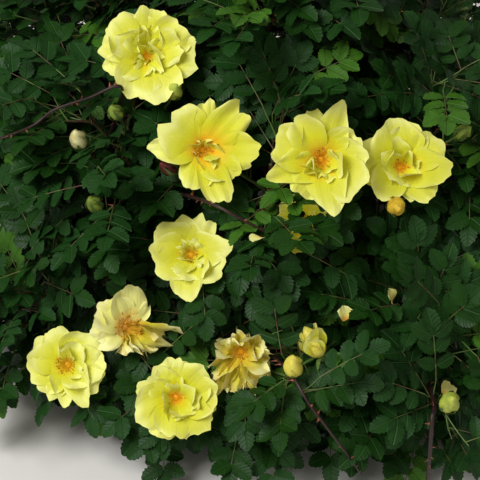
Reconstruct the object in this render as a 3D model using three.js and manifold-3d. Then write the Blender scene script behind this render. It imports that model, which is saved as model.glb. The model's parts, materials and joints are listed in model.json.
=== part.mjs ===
// A low, spreading garden rose bush in full flower, rooted in level ground.
// A short rootstock is cut flat at the ground. Canes leave it in three tiers, and each ends where it enters its
// own mass of foliage: one stem, the twigs that branch from it, and the leaves, blooms and buds fused on them.
// Each leaf blade stands for one compound leaf with its leaflets.
// Millimetres, +Z up. The origin is the middle of the flat cut, -Y is the front, where most of the blooms are.

import * as THREE from "three";
import { mergeVertices } from "three/addons/utils/BufferGeometryUtils.js";
import Module from "manifold-3d";

const wasm = await Module();
wasm.setup();

const CLEARANCE = 0.3;
const SMOOTHED = 0.05;
const UP = new THREE.Vector3(0, 0, 1);
const GOLDEN_ANGLE = Math.PI * (3 - Math.sqrt(5));

// Rootstock, the knobbly stump that the canes spring from
const ROOTSTOCK = {
  sides: 14,
  lean: 0.06,
  profile: [
    [0, 19],
    [5, 15.5],
    [14, 12.5],
    [24, 13.5],
    [33, 15],
    [40, 12.5],
    [44, 6],
  ],
};
const STUMP_HEART = new THREE.Vector3(0, 0, 30);

// Crown: three tiers of foliage masses round the middle of the bush, each turned by an angle in degrees.
// Twigs is the number of twigs that each mass of the tier tries to grow.
const CROWN_MIDDLE = new THREE.Vector3(0, 30, 60);
const TIERS = [
  {
    level: "low",
    sides: ["front", "front_right", "right", "back_right", "back", "back_left", "left", "front_left"],
    turned: -14,
    middle: [4, 26],
    reach_x: 158,
    reach_y: 116,
    height: 80,
    canes_from: { radius: 9, height: 22 },
    cane_base: 3.4,
    twigs: 50,
  },
  {
    level: "high",
    sides: ["front", "front_right", "back_right", "back", "back_left", "front_left"],
    turned: 0,
    middle: [0, 44],
    reach_x: 116,
    reach_y: 78,
    height: 182,
    canes_from: { radius: 8.4, height: 36 },
    cane_base: 3.2,
    twigs: 90,
  },
  {
    level: "top",
    sides: [""],
    turned: 0,
    middle: [0, 48],
    reach_x: 0,
    reach_y: 0,
    height: 242,
    canes_from: { radius: 0, height: 40 },
    cane_base: 3.0,
    twigs: 70,
  },
];

// Canes, the stem that each one grows on into inside its mass, and the twigs
const CANE = { tip: 1.9, sides: 6, steps: 6, ends_short: 0.42, arch: 0.42 };
const MASS_STEM = { tip: 1.5, sides: 5, steps: 5, past_middle: 34 };
const TWIG = {
  base: 1.05,
  tip: 0.7,
  reach: 64,
  shortest: 26,
  bends_at: [],
  leaves_at: [0.26, 0.43, 0.6, 0.77, 0.92],
  fewest_leaves: 3,
};
const BLOOM_TWIG = { base: 1.15, tip: 1.15, straight: 34, bends_at: [0.4, 0.7], leaves_at: [0.3, 0.55, 0.78] };
const TWIG_SIDES = 3;

// Leaves. Splay is the angle between leaf and twig in degrees, in the order in which the turns are tried.
const LEAF = {
  length: [50, 62],
  width: 0.6,
  thick: 1.6,
  droop: 0.07,
  fold: 0.055,
  splay: [58, 78, 44, 98],
  tip_splay: [0, 30, -30, 55],
  foot: 1.8,
  spacing: 5.5,
};

// Clear distances that leaves and twigs keep, from the ground, from other masses and within their own mass
const GROUND_CLEAR = 12;
const NEIGHBOUR_GAP = 6.5;
const OWN_GAP = 4.5;
const LIMB_GAP = 5;
const OWN_LIMB_GAP = 3.2;

// Blooms and buds. A bloom is one rosette with rings from the rim of its outer petals down to its throat and up
// to the rim of its inner petals. Each ring has its share of the radius, its height in shares of the radius, how
// deep the petals are notched there, and by how many points the notches are turned.
const BLOOM = {
  petals: 5,
  rings: [
    { share: 1.0, height: 0.2, notch: 0.24, turn: 0 },
    { share: 0.36, height: 0.06, notch: 0, turn: 0 },
    { share: 0.6, height: 0.36, notch: 0.3, turn: 1 },
  ],
  foot: 0.26,
  heart: 0.04,
  ruffle: 0.06,
  sight_clear: 130,
};
const BUD = { sides: 6, foot: 1.1, tip: 2.8 };

// The view in which the front of the bush was measured: a square picture of the given side in pixels that spans
// the given width in mm at the aimed point, taken from the given distance and looking down by the given angle
const PICTURE = { side: 480, span: 330, distance: 1300, look_down: 45, aim: new THREE.Vector3(-20, -46, 138) };

// Blooms in that picture: pixels across and down, height above the ground and width in mm,
// and the way each faces in degrees, turned from the front towards +X and raised above level
const FRONT_BLOOMS = [
  { at: [147, 55], height: 262, width: 66, turn: 8, rise: 55 },
  { at: [203, 149], height: 222, width: 70, turn: 4, rise: 48 },
  { at: [190, 254], height: 160, width: 56, turn: -8, rise: 52 },
  { at: [322, 159], height: 226, width: 66, turn: 6, rise: 46 },
  { at: [401, 166], height: 208, width: 60, turn: 8, rise: 50 },
  { at: [304, 224], height: 158, width: 46, turn: -6, rise: 55, sight: 75 },
  { at: [127, 327], height: 112, width: 56, turn: 30, rise: 40 },
  { at: [67, 365], height: 88, width: 58, turn: -6, rise: 46 },
  { at: [176, 398], height: 84, width: 62, turn: 0, rise: 46 },
  { at: [241, 352], height: 104, width: 44, turn: 2, rise: 40 },
];
const FRONT_BUDS = [
  { at: [174, 92], height: 246, width: 13, turn: 20, rise: 60 },
  { at: [116, 113], height: 234, width: 12, turn: -30, rise: 60 },
  { at: [79, 141], height: 212, width: 14, turn: -20, rise: 70 },
  { at: [170, 168], height: 208, width: 12, turn: -50, rise: 50 },
  { at: [95, 205], height: 176, width: 13, turn: -30, rise: 60 },
  { at: [293, 372], height: 120, width: 15, turn: -10, rise: 60 },
  { at: [316, 345], height: 126, width: 17, turn: 20, rise: 50 },
  { at: [449, 403], height: 108, width: 16, turn: 10, rise: 60 },
  { at: [394, 201], height: 190, width: 14, turn: 10, rise: 35 },
  { at: [462, 133], height: 222, width: 12, turn: 40, rise: 55 },
];

// Blooms and buds on the sides that the picture doesn't show, spread over the crown's outer surface:
// turned by angles in degrees from the front, and from low on the crown to high as the sine of the rise
const CROWN_SURFACE = { middle: new THREE.Vector3(2, 34, 50), radii: new THREE.Vector3(212, 165, 246) };
const FAR_SIDE = { count: 14, turns: [62, 250], climbs: [0.14, 0.66], bloom_widths: [58, 66], bud_width: 13 };

// A repeatable stream of numbers from 0 to 1
function stream(seed) {
  let state = seed;
  return () => {
    state = (state * 48271) % 2147483647;
    return state / 2147483647;
  };
}

const radians = THREE.MathUtils.degToRad;
const mix = THREE.MathUtils.lerp;

function facing(turn, rise) {
  const level = Math.cos(radians(rise));
  return new THREE.Vector3(
    Math.sin(radians(turn)) * level,
    -Math.cos(radians(turn)) * level,
    Math.sin(radians(rise)),
  );
}

// The point at the given height that the picture shows at a pixel
function seenAt([across, down], height) {
  const pitch = radians(PICTURE.look_down);
  const ahead = new THREE.Vector3(0, Math.cos(pitch), -Math.sin(pitch));
  const above = new THREE.Vector3(0, Math.sin(pitch), Math.cos(pitch));
  const eye = PICTURE.aim.clone().addScaledVector(ahead, -PICTURE.distance);
  const scale = PICTURE.span / PICTURE.side;
  const ray = ahead.multiplyScalar(PICTURE.distance);
  ray.addScaledVector(above, (PICTURE.side / 2 - down) * scale);
  ray.x += (across - PICTURE.side / 2) * scale;
  return eye.addScaledVector(ray, (height - eye.z) / ray.z);
}

// Solids

function solidOf(geometry) {
  const bare = geometry.clone();
  for (const name of Object.keys(bare.attributes)) {
    if (name !== "position") bare.deleteAttribute(name);
  }
  const merged = mergeVertices(bare, 1e-4);
  return new wasm.Manifold(
    new wasm.Mesh({
      numProp: 3,
      vertProperties: merged.attributes.position.array,
      triVerts: new Uint32Array(merged.index.array),
    }),
  );
}

function geometryOf(solid) {
  const { vertProperties, triVerts } = solid.getMesh();
  const geometry = new THREE.BufferGeometry();
  geometry.setAttribute("position", new THREE.BufferAttribute(vertProperties, 3));
  geometry.setIndex(new THREE.BufferAttribute(triVerts, 1));
  geometry.computeVertexNormals();
  return geometry;
}

// Everything that grows on one stem joined into one body: loose scraps are dropped and sealed hollows filled
function fused(geometries) {
  const bodies = wasm.Manifold.union(geometries.map(solidOf)).decompose();
  bodies.sort((a, b) => b.volume() - a.volume());
  return geometryOf(bodies[0].simplify(SMOOTHED));
}

function indexed(points, faces) {
  const geometry = new THREE.BufferGeometry();
  geometry.setAttribute("position", new THREE.Float32BufferAttribute(points.flatMap((p) => p.toArray()), 3));
  geometry.setIndex(faces.flat());
  return geometry;
}

// Rings of points round a curve at the given stops from 0 to 1, tapering from base to tip
function ringsAlong(curve, base, tip, sides, stops) {
  let side = new THREE.Vector3();
  return stops.map((t) => {
    const along = curve.getTangent(t);
    if (t === 0) side.crossVectors(along, Math.abs(along.z) < 0.9 ? UP : new THREE.Vector3(1, 0, 0));
    side = side.clone().addScaledVector(along, -side.dot(along)).normalize();
    const across = new THREE.Vector3().crossVectors(along, side);
    return Array.from({ length: sides }, (_, corner) => {
      const angle = (2 * Math.PI * corner) / sides;
      const point = curve.getPoint(t).addScaledVector(side, mix(base, tip, t) * Math.cos(angle));
      return point.addScaledVector(across, mix(base, tip, t) * Math.sin(angle));
    });
  });
}

// A closed tube along a curve
function limb(curve, base, tip, sides, steps) {
  const stops = Array.from({ length: steps + 1 }, (_, step) => step / steps);
  const faces = [];
  for (let corner = 0; corner < sides; corner++) {
    const next = (corner + 1) % sides;
    for (let low = 0; low < steps * sides; low += sides) {
      const high = low + sides;
      faces.push([low + corner, low + next, high + next], [low + corner, high + next, high + corner]);
    }
    if (corner > 0 && corner < sides - 1) {
      faces.push([0, next, corner], [steps * sides, steps * sides + corner, steps * sides + next]);
    }
  }
  return indexed(ringsAlong(curve, base, tip, sides, stops).flat(), faces);
}

// A point on such a tube's middle line, which runs straight from step to step
function onLimb(curve, t, steps) {
  const step = Math.min(Math.floor(t * steps), steps - 1);
  return curve.getPoint(step / steps).lerp(curve.getPoint((step + 1) / steps), t * steps - step);
}

// A leaf in its own axes: along it, across it, and out of its face
function leafAxes(root, along, face) {
  const normal = face.clone().addScaledVector(along, -face.dot(along)).normalize();
  return { root, along, across: new THREE.Vector3().crossVectors(normal, along), normal };
}

function onLeaf(axes, along, across, out) {
  const point = axes.root.clone().addScaledVector(axes.along, along);
  return point.addScaledVector(axes.across, across).addScaledVector(axes.normal, out);
}

// Points spread over a leaf, close enough together that none slips through another
function leafSamples({ axes, length }, from) {
  const samples = [];
  const rows = Math.ceil(length / LEAF.spacing);
  for (let row = Math.ceil(rows * from); row <= rows; row++) {
    const share = row / rows;
    const half = ((length * LEAF.width) / 2) * (1 - Math.abs(2 * share - 1));
    const columns = Math.ceil(half / LEAF.spacing);
    for (let column = -columns; column <= columns; column++) {
      samples.push(onLeaf(axes, length * share, columns ? (half * column) / columns : 0, 0));
    }
  }
  return samples;
}

// A blade that grows out of a triangle of three points already in the surface: two edges and a tip, a middle
// above, and a keel below that runs from the lowest of the three points to the tip
function growBlade(points, faces, foot, { axes, length }) {
  const low = foot.reduce((a, b) => (points[a].dot(axes.normal) < points[b].dot(axes.normal) ? a : b));
  const [right, left] = [foot[(foot.indexOf(low) + 1) % 3], foot[(foot.indexOf(low) + 2) % 3]];
  const half = (length * LEAF.width) / 2;
  const droop = length * LEAF.droop;
  const edge = length * LEAF.fold - droop / 2;
  const first = points.length;
  points.push(
    onLeaf(axes, length * 0.5, -half, edge),
    onLeaf(axes, length * 0.5, half, edge),
    onLeaf(axes, length, 0, -droop),
    onLeaf(axes, length * 0.48, 0, LEAF.thick - droop * 0.48),
  );
  const [edgeLeft, edgeRight, tip, middle] = [first, first + 1, first + 2, first + 3];
  faces.push([left, edgeLeft, middle], [edgeLeft, tip, middle], [tip, edgeRight, middle]);
  faces.push([edgeRight, right, middle], [right, left, middle]);
  faces.push([tip, edgeLeft, low], [edgeRight, tip, low], [edgeLeft, left, low], [right, edgeRight, low]);
}

// A bloom or a bud that opens out of the end of a twig, ring after ring, to a point at its heart
function growFlower(points, faces, foot, flower) {
  const { rings, heart } = flower.kind === "bloom" ? bloomRings(flower) : budRings(flower);
  const count = rings[0].length;
  const first = points.length;
  points.push(...rings.flat(), heart);
  const away = (point) => point.distanceTo(points[foot[0]]);
  const start = rings[0].indexOf(rings[0].reduce((a, b) => (away(b) < away(a) ? b : a)));
  for (let i = 0; i < count; i++) {
    const corner = Math.floor((3 * i) / count);
    const at = first + ((start + i) % count);
    const next = first + ((start + i + 1) % count);
    if ((3 * i) % count === 0) faces.push([foot[(corner + 2) % 3], foot[corner], at]);
    faces.push([foot[corner], next, at]);
  }
  for (let i = 0; i < count; i++) {
    const next = (i + 1) % count;
    for (let ring = 0; ring < rings.length - 1; ring++) {
      const [low, high] = [first + ring * count, first + (ring + 1) * count];
      faces.push([low + i, low + next, high + next], [low + i, high + next, high + i]);
    }
    const last = first + (rings.length - 1) * count;
    faces.push([last + i, last + next, points.length - 1]);
  }
}

function flowerPoint(flower, azimuth, radius, height) {
  const side = new THREE.Vector3().crossVectors(UP, flower.faces).normalize();
  const above = new THREE.Vector3().crossVectors(flower.faces, side);
  const point = flower.centre.clone().addScaledVector(side, Math.cos(azimuth) * radius);
  return point.addScaledVector(above, Math.sin(azimuth) * radius).addScaledVector(flower.faces, height);
}

// Each petal has two shoulders and a notch to the next
function bloomRings(bloom) {
  const radius = bloom.width / 2;
  const count = BLOOM.petals * 3;
  const rings = BLOOM.rings.map((ring) =>
    Array.from({ length: count }, (_, i) => {
      const notched = (i + ring.turn) % 3 === 0;
      const share = ring.share * (notched ? 1 - ring.notch : 1);
      const ruffle = ring.notch > 0 && !notched ? BLOOM.ruffle * (i % 2 ? 1 : -1) : 0;
      const azimuth = bloom.spin + (2 * Math.PI * i) / count;
      return flowerPoint(bloom, azimuth, radius * share, radius * (ring.height + ruffle));
    }),
  );
  return { rings, heart: flowerPoint(bloom, 0, 0, radius * BLOOM.heart) };
}

function budRings(bud) {
  const ring = Array.from({ length: BUD.sides }, (_, i) =>
    flowerPoint(bud, (2 * Math.PI * i) / BUD.sides, bud.width / 2, 0),
  );
  return { rings: [ring], heart: flowerPoint(bud, 0, 0, (bud.width * BUD.tip) / 2) };
}

// A twig with all that grows on it as one closed surface: a three-sided tube with a ring at each leaf. A leaf
// opens out of the face that looks its way, just above its ring, and the end carries a leaf, a bloom or a bud.
function shootPiece({ twig, leaves, size, end }) {
  const stops = [0, ...size.bends_at, ...leaves.map((leaf) => leaf.t), 1].sort((a, b) => a - b);
  const points = ringsAlong(twig, size.base, size.tip, TWIG_SIDES, stops).flat();
  const faces = [[0, 2, 1]];
  stops.slice(0, -1).forEach((stop, step) => {
    const low = step * TWIG_SIDES;
    const high = low + TWIG_SIDES;
    const leaf = leaves.find(({ t }) => t === stop);
    const corners = [0, 1, 2];
    const looks = (corner) => {
      const middle = points[low + corner].clone().lerp(points[low + ((corner + 1) % 3)], 0.5);
      return leaf ? middle.sub(leaf.axes.root).normalize().dot(leaf.axes.along) : 0;
    };
    const chosen = leaf && corners.reduce((a, b) => (looks(a) >= looks(b) ? a : b));
    for (const corner of corners) {
      const next = (corner + 1) % 3;
      const [a, b, c, d] = [low + corner, low + next, high + next, high + corner];
      if (corner !== chosen) {
        faces.push([a, b, c], [a, c, d]);
        continue;
      }
      const from = points[a].clone().lerp(points[b], 0.5);
      const to = points[c].clone().lerp(points[d], 0.5);
      points.push(from.lerp(to, LEAF.foot / from.distanceTo(to)));
      const above = points.length - 1;
      faces.push([b, c, above], [c, d, above], [d, a, above]);
      growBlade(points, faces, [a, b, above], leaf);
    }
  });
  const last = (stops.length - 1) * TWIG_SIDES;
  const foot = [last, last + 1, last + 2];
  if (!end) faces.push(foot);
  else if (end.kind) growFlower(points, faces, foot, end);
  else growBlade(points, faces, foot, end);
  return indexed(points, faces);
}

// Plan of the bush: masses, blooms, buds and canes

function planMasses() {
  const masses = [];
  for (const tier of TIERS) {
    tier.sides.forEach((side, i) => {
      const name = side ? `${tier.level}_${side}` : tier.level;
      const azimuth = radians(tier.turned + (360 * i) / tier.sides.length);
      const middle = new THREE.Vector3(
        tier.middle[0] + tier.reach_x * Math.sin(azimuth),
        tier.middle[1] - tier.reach_y * Math.cos(azimuth),
        tier.height,
      );
      const outward = middle.clone().sub(CROWN_MIDDLE).normalize();
      const from = new THREE.Vector3(
        tier.canes_from.radius * Math.sin(azimuth),
        -tier.canes_from.radius * Math.cos(azimuth),
        tier.canes_from.height,
      );
      const sideways = new THREE.Vector3(Math.sin(azimuth), -Math.cos(azimuth), 0);
      const cane = caneCurve(from, middle, tier.reach_x ? sideways : new THREE.Vector3());
      masses.push({ name, tier, middle, outward, cane, number: masses.length + 1 });
    });
  }
  return masses;
}

// A cane climbs steeply from the rootstock and arches over into its mass
function caneCurve(from, middle, sideways) {
  const to = middle.clone().lerp(STUMP_HEART, CANE.ends_short);
  const reach = from.distanceTo(to);
  const leaves = from.clone().addScaledVector(sideways, reach * 0.3).addScaledVector(UP, reach * CANE.arch);
  const arrives = to.clone().lerp(middle, -0.3).addScaledVector(UP, reach * 0.12);
  return new THREE.CubicBezierCurve3(from, leaves, arrives, to);
}

function planFlowers(masses) {
  const flowers = [];
  const add = (kind, width, centre, faces, sight = BLOOM.sight_clear) => {
    const spin = flowers.length * GOLDEN_ANGLE;
    flowers.push({ kind, width, centre, faces, sight, spin, mass: nearestMass(centre, masses) });
  };
  for (const { at, height, width, turn, rise, sight } of FRONT_BLOOMS) {
    add("bloom", width, seenAt(at, height), facing(turn, rise), sight);
  }
  for (const { at, height, width, turn, rise } of FRONT_BUDS) {
    add("bud", width, seenAt(at, height), facing(turn, rise));
  }
  for (let i = 0; i < FAR_SIDE.count; i++) {
    const turn = mix(...FAR_SIDE.turns, (i * 0.618034 + 0.3) % 1);
    const climb = mix(...FAR_SIDE.climbs, (i + 0.5) / FAR_SIDE.count);
    const faces = facing(turn, THREE.MathUtils.radToDeg(Math.asin(climb)));
    const centre = CROWN_SURFACE.middle.clone().add(faces.clone().multiply(CROWN_SURFACE.radii));
    if (i % 5 < 3) add("bloom", mix(...FAR_SIDE.bloom_widths, (i % 3) / 2), centre, faces);
    else add("bud", FAR_SIDE.bud_width, centre, faces);
  }
  return flowers;
}

// Growing room: what is already taken, in cells of a grid, so that nothing new touches it

class Room {
  constructor(cell) {
    this.cell = cell;
    this.cells = new Map();
  }

  key(x, y, z) {
    return `${x},${y},${z}`;
  }

  take(points, owner) {
    for (const point of points) {
      const key = this.key(...point.toArray().map((v) => Math.floor(v / this.cell)));
      if (!this.cells.has(key)) this.cells.set(key, []);
      this.cells.get(key).push({ point, owner });
    }
  }

  // Whether every point is farther than gap(owner) from all that is taken
  free(points, gap) {
    return points.every((point) => {
      const [x, y, z] = point.toArray().map((v) => Math.floor(v / this.cell));
      for (let i = -1; i <= 1; i++)
        for (let j = -1; j <= 1; j++)
          for (let k = -1; k <= 1; k++)
            for (const other of this.cells.get(this.key(x + i, y + j, z + k)) ?? [])
              if (other.point.distanceTo(point) < gap(other.owner)) return false;
      return true;
    });
  }
}

function limbPoints(curve, every) {
  const count = Math.ceil(curve.getLength() / every);
  return Array.from({ length: count + 1 }, (_, i) => curve.getPoint(i / count));
}

// The space that each bloom needs, and a clear way in front of it
function hidesBloom(points, flowers, mass) {
  return flowers.some((flower) => {
    const radius = flower.width / 2;
    return points.some((point) => {
      const from = point.clone().sub(flower.centre);
      const ahead = from.dot(flower.faces);
      const aside = Math.sqrt(Math.max(0, from.lengthSq() - ahead * ahead));
      if (ahead < 0) return flower.mass !== mass && from.length() < radius * 0.6 + 4;
      if (ahead < radius * 0.9) return aside < radius * 1.04 + 3;
      return ahead < flower.sight && aside < radius * 0.8;
    });
  });
}

function nearestMass(point, masses) {
  const away = (mass) => mass.middle.distanceToSquared(point);
  return masses.reduce((a, b) => (away(a) < away(b) ? a : b));
}

// Growth of one mass

function massStem(mass) {
  const start = mass.cane.getPoint(1);
  const heading = mass.cane.getTangent(1);
  start.addScaledVector(heading, CLEARANCE);
  const length = start.distanceTo(mass.middle);
  const end = mass.middle.clone().addScaledVector(mass.outward, MASS_STEM.past_middle);
  return new THREE.CubicBezierCurve3(
    start,
    start.clone().addScaledVector(heading, length * 0.5),
    mass.middle.clone().addScaledVector(UP, -6),
    end,
  );
}

// A twig leaves its stem at a slant
function twigFrom(stem, from, arrives, end) {
  const start = onLimb(stem, from, MASS_STEM.steps);
  const slant = start.distanceTo(end) * 0.14;
  const leaves = start.clone().lerp(end, 0.16).addScaledVector(stem.getTangent(from), slant);
  return new THREE.CubicBezierCurve3(start, leaves, arrives, end);
}

// The twig that carries a bloom or a bud comes up behind it
function flowerTwig(flower, stem, number) {
  const foot = flower.kind === "bloom" ? BLOOM.foot : BUD.foot;
  const top = flower.centre.clone().addScaledVector(flower.faces, (-foot * flower.width) / 2);
  const below = top.clone().addScaledVector(flower.faces, -BLOOM_TWIG.straight);
  const from = Math.min(0.95, Math.max(0.3, 0.8 - stem.getPoint(0.8).distanceTo(below) / 260));
  return twigFrom(stem, from - number * 0.045, below, top);
}

// Leafy twigs point evenly in all directions but straight back at the stump
function leafyTwigs(mass, random) {
  const twigs = [];
  for (let i = 0; i < mass.tier.twigs; i++) {
    const height = 1 - (2 * (i + 0.5)) / mass.tier.twigs;
    const azimuth = i * GOLDEN_ANGLE + random() * 0.6;
    const level = Math.sqrt(1 - height * height);
    const way = new THREE.Vector3(Math.cos(azimuth) * level, Math.sin(azimuth) * level, height);
    const reach = TWIG.reach * mix(0.75, 1.05, random());
    const rise = mix(0.15, 0.4, random());
    const from = mix(0.3, 0.97, (1 + way.dot(mass.outward)) / 2);
    const end = mass.middle.clone().addScaledVector(way, reach);
    const length = mass.stem.getPoint(from).distanceTo(end);
    if (way.dot(mass.outward) < -0.55 || length < TWIG.shortest) continue;
    const arrives = end.clone().addScaledVector(way, -length * 0.35).addScaledVector(UP, -length * rise);
    twigs.push(twigFrom(mass.stem, from, arrives, end));
  }
  return twigs;
}

// The turns that one leaf may take, with its face turned up and outwards
function turnsOf(twig, t, splays, mass, random) {
  const length = mix(...LEAF.length, random());
  const along = twig.getTangent(t);
  const face = new THREE.Vector3(random() - 0.5, random() - 0.5, 1.1).addScaledVector(mass.outward, 0.75);
  const normal = face.addScaledVector(along, -face.dot(along) * 0.5).normalize();
  return splays.map((splay) => {
    const way = along.clone().applyAxisAngle(normal, radians(splay + (random() - 0.5) * 16));
    way.addScaledVector(normal, -way.dot(normal) * 0.7).normalize();
    return { t, axes: leafAxes(twig.getPoint(t), way, normal), length };
  });
}

// Leaves leave a twig on alternate sides
function leavesOn(twig, stops, mass, random) {
  return stops.map((t, i) => {
    const splays = LEAF.splay.map((splay) => (i % 2 ? splay : -splay));
    return turnsOf(twig, t, splays, mass, random);
  });
}

// What one mass wants to grow, in order: twigs, each with the turns that each of its leaves may take
function shootsOf(mass) {
  const random = stream(mass.number * 7919);
  const shoots = mass.flowers.map((flower, number) => {
    const twig = flowerTwig(flower, mass.stem, number);
    const leaves = leavesOn(twig, BLOOM_TWIG.leaves_at, mass, random);
    return { twig, leaves, size: BLOOM_TWIG, end: flower };
  });
  for (const twig of leafyTwigs(mass, random)) {
    const leaves = leavesOn(twig, TWIG.leaves_at, mass, random);
    const last = turnsOf(twig, 1, LEAF.tip_splay, mass, random);
    shoots.push({ twig, leaves, size: TWIG, last });
  }
  return shoots;
}

function growBush() {
  const masses = planMasses();
  const flowers = planFlowers(masses);
  const limbs = new Room(14);
  const leaves = new Room(NEIGHBOUR_GAP);
  for (const mass of masses) {
    mass.stem = massStem(mass);
    mass.flowers = flowers.filter((flower) => flower.mass === mass);
    mass.wanted = shootsOf(mass);
    mass.shoots = [];
    const fixed = mass.wanted.filter((shoot) => shoot.end).map((shoot) => shoot.twig);
    for (const curve of [mass.cane, mass.stem, ...fixed]) limbs.take(limbPoints(curve, 3), mass);
  }

  const twigFits = (twig, mass) => {
    const points = limbPoints(twig, 3);
    return (
      points.every((point) => point.z > GROUND_CLEAR + 4 && nearestMass(point, masses) === mass) &&
      limbs.free(points, (owner) => (owner === mass ? 0 : LIMB_GAP)) &&
      leaves.free(points, (owner) => (owner === mass ? OWN_LIMB_GAP : LIMB_GAP + 1)) &&
      !hidesBloom(points, flowers, mass)
    );
  };
  const leafFits = (leaf, mass) => {
    const points = leafSamples(leaf, 0.12);
    return (
      points.every((point) => point.z > GROUND_CLEAR) &&
      !hidesBloom(points, flowers, mass) &&
      limbs.free(points, (owner) => (owner === mass ? 0 : LIMB_GAP + 3)) &&
      limbs.free(leafSamples(leaf, 0.25), (owner) => (owner === mass ? OWN_LIMB_GAP : 0)) &&
      leaves.free(points, (owner) => (owner === mass ? OWN_GAP : NEIGHBOUR_GAP))
    );
  };

  const apart = (leaf, others) =>
    others.every((other) => {
      const taken = leafSamples(other, 0.2);
      return leafSamples(leaf, 0.12).every((point) => taken.every((next) => next.distanceTo(point) > OWN_GAP));
    });

  // The masses take turns, a shoot each, so that none crowds out the next
  const rounds = Math.max(...masses.map((mass) => mass.wanted.length));
  for (let round = 0; round < rounds; round++) {
    for (const mass of masses) {
      const shoot = mass.wanted[round];
      if (!shoot || !(shoot.end || twigFits(shoot.twig, mass))) continue;
      const kept = [];
      for (const turns of shoot.last ? [shoot.last, ...shoot.leaves] : shoot.leaves) {
        const leaf = turns.find((turn) => leafFits(turn, mass) && apart(turn, kept));
        if (leaf) kept.push(leaf);
      }
      if (!shoot.end && kept.length < TWIG.fewest_leaves) continue;
      for (const leaf of kept) leaves.take(leafSamples(leaf, 0.2), mass);
      if (!shoot.end) limbs.take(limbPoints(shoot.twig, 3), mass);
      const end = shoot.end ?? kept.find((leaf) => leaf.t === 1);
      mass.shoots.push({ ...shoot, end, leaves: kept.filter((leaf) => leaf.t < 1) });
    }
  }
  return masses;
}

// Pieces

function rootstock(grow = 0) {
  const top = ROOTSTOCK.profile.at(-1)[0] + 1;
  const swollen = ([height, radius]) => new THREE.Vector2(radius + grow, height * (1 + grow / top));
  const profile = ROOTSTOCK.profile.map(swollen);
  profile.unshift(new THREE.Vector2(0, 0));
  profile.push(new THREE.Vector2(0, top + grow));
  const geometry = new THREE.LatheGeometry(profile, ROOTSTOCK.sides);
  geometry.rotateX(Math.PI / 2);
  const places = geometry.attributes.position;
  for (let i = 0; i < places.count; i++) {
    places.setX(i, places.getX(i) + ROOTSTOCK.lean * places.getZ(i));
  }
  return geometry;
}

function canePiece(mass) {
  const { tip, sides, steps } = CANE;
  const whole = solidOf(limb(mass.cane, mass.tier.cane_base, tip, sides, steps));
  return geometryOf(whole.subtract(solidOf(rootstock(CLEARANCE * 2))));
}

function foliagePiece(mass) {
  const stem = limb(mass.stem, CANE.tip, MASS_STEM.tip, MASS_STEM.sides, MASS_STEM.steps);
  return fused([stem, ...mass.shoots.map(shootPiece)]);
}

const barkOld = new THREE.MeshStandardMaterial({ color: "#4a3428", roughness: 0.92, metalness: 0 });
const barkCane = new THREE.MeshStandardMaterial({ color: "#5a2f2a", roughness: 0.6, metalness: 0 });
const leafGreen = new THREE.MeshStandardMaterial({ color: "#1f4a2a", roughness: 0.55, metalness: 0 });

const bush = new THREE.Group();
function place(name, geometry, material) {
  const mesh = new THREE.Mesh(geometry, material);
  mesh.name = name;
  bush.add(mesh);
}

place("rootstock", rootstock(), barkOld);
for (const mass of growBush()) {
  place(`cane_${mass.name}`, canePiece(mass), barkCane);
  place(`foliage_${mass.name}`, foliagePiece(mass), leafGreen);
}
export default bush;
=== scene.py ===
"""A low garden rose bush in full flower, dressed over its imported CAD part.

The growing rule of the part's source is written again here in millimetres, so twigs, leaves, blooms and buds
stand where the solids have them, but for two buds that bend over. The rule is then carried on to finer side
shoots within the same reach. Points are turned to metres where a mesh or a curve is made.
"""

import functools
import itertools
import json
import math

import bpy
import numpy as np
from mathutils import Matrix, Vector, noise

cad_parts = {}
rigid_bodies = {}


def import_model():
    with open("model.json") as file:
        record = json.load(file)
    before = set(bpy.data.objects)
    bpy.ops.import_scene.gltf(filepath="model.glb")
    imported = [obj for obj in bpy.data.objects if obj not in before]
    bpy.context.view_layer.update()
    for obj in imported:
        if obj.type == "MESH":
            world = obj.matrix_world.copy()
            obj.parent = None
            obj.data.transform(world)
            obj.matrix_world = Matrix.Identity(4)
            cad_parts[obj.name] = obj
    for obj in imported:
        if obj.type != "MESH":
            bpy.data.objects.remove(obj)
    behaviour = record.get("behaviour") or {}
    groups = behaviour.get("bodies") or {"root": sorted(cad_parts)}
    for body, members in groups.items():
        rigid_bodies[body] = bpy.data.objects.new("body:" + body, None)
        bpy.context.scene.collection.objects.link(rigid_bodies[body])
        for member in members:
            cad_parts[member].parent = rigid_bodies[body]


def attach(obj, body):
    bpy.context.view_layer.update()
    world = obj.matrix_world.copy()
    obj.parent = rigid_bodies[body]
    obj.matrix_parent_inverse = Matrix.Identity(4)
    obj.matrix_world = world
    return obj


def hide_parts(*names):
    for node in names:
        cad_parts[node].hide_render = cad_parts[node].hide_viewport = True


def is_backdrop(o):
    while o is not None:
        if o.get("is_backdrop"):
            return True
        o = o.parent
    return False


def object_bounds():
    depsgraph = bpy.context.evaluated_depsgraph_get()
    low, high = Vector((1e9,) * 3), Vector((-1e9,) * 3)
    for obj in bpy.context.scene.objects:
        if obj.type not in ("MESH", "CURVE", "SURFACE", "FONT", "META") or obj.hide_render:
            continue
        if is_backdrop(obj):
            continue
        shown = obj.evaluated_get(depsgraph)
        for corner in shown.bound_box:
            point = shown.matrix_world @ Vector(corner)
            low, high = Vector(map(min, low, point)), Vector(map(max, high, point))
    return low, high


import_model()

bl_info = {
    "name": "Garden Rose Bush",
    "version": (1, 0, 0),
    "blender": (4, 5, 0),
    "location": "3D View > Sidebar > Rose Bush",
    "description": "Dresses a rose bush in flower: bark, twigs, compound leaves, blooms and buds",
    "category": "Add Mesh",
}

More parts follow.
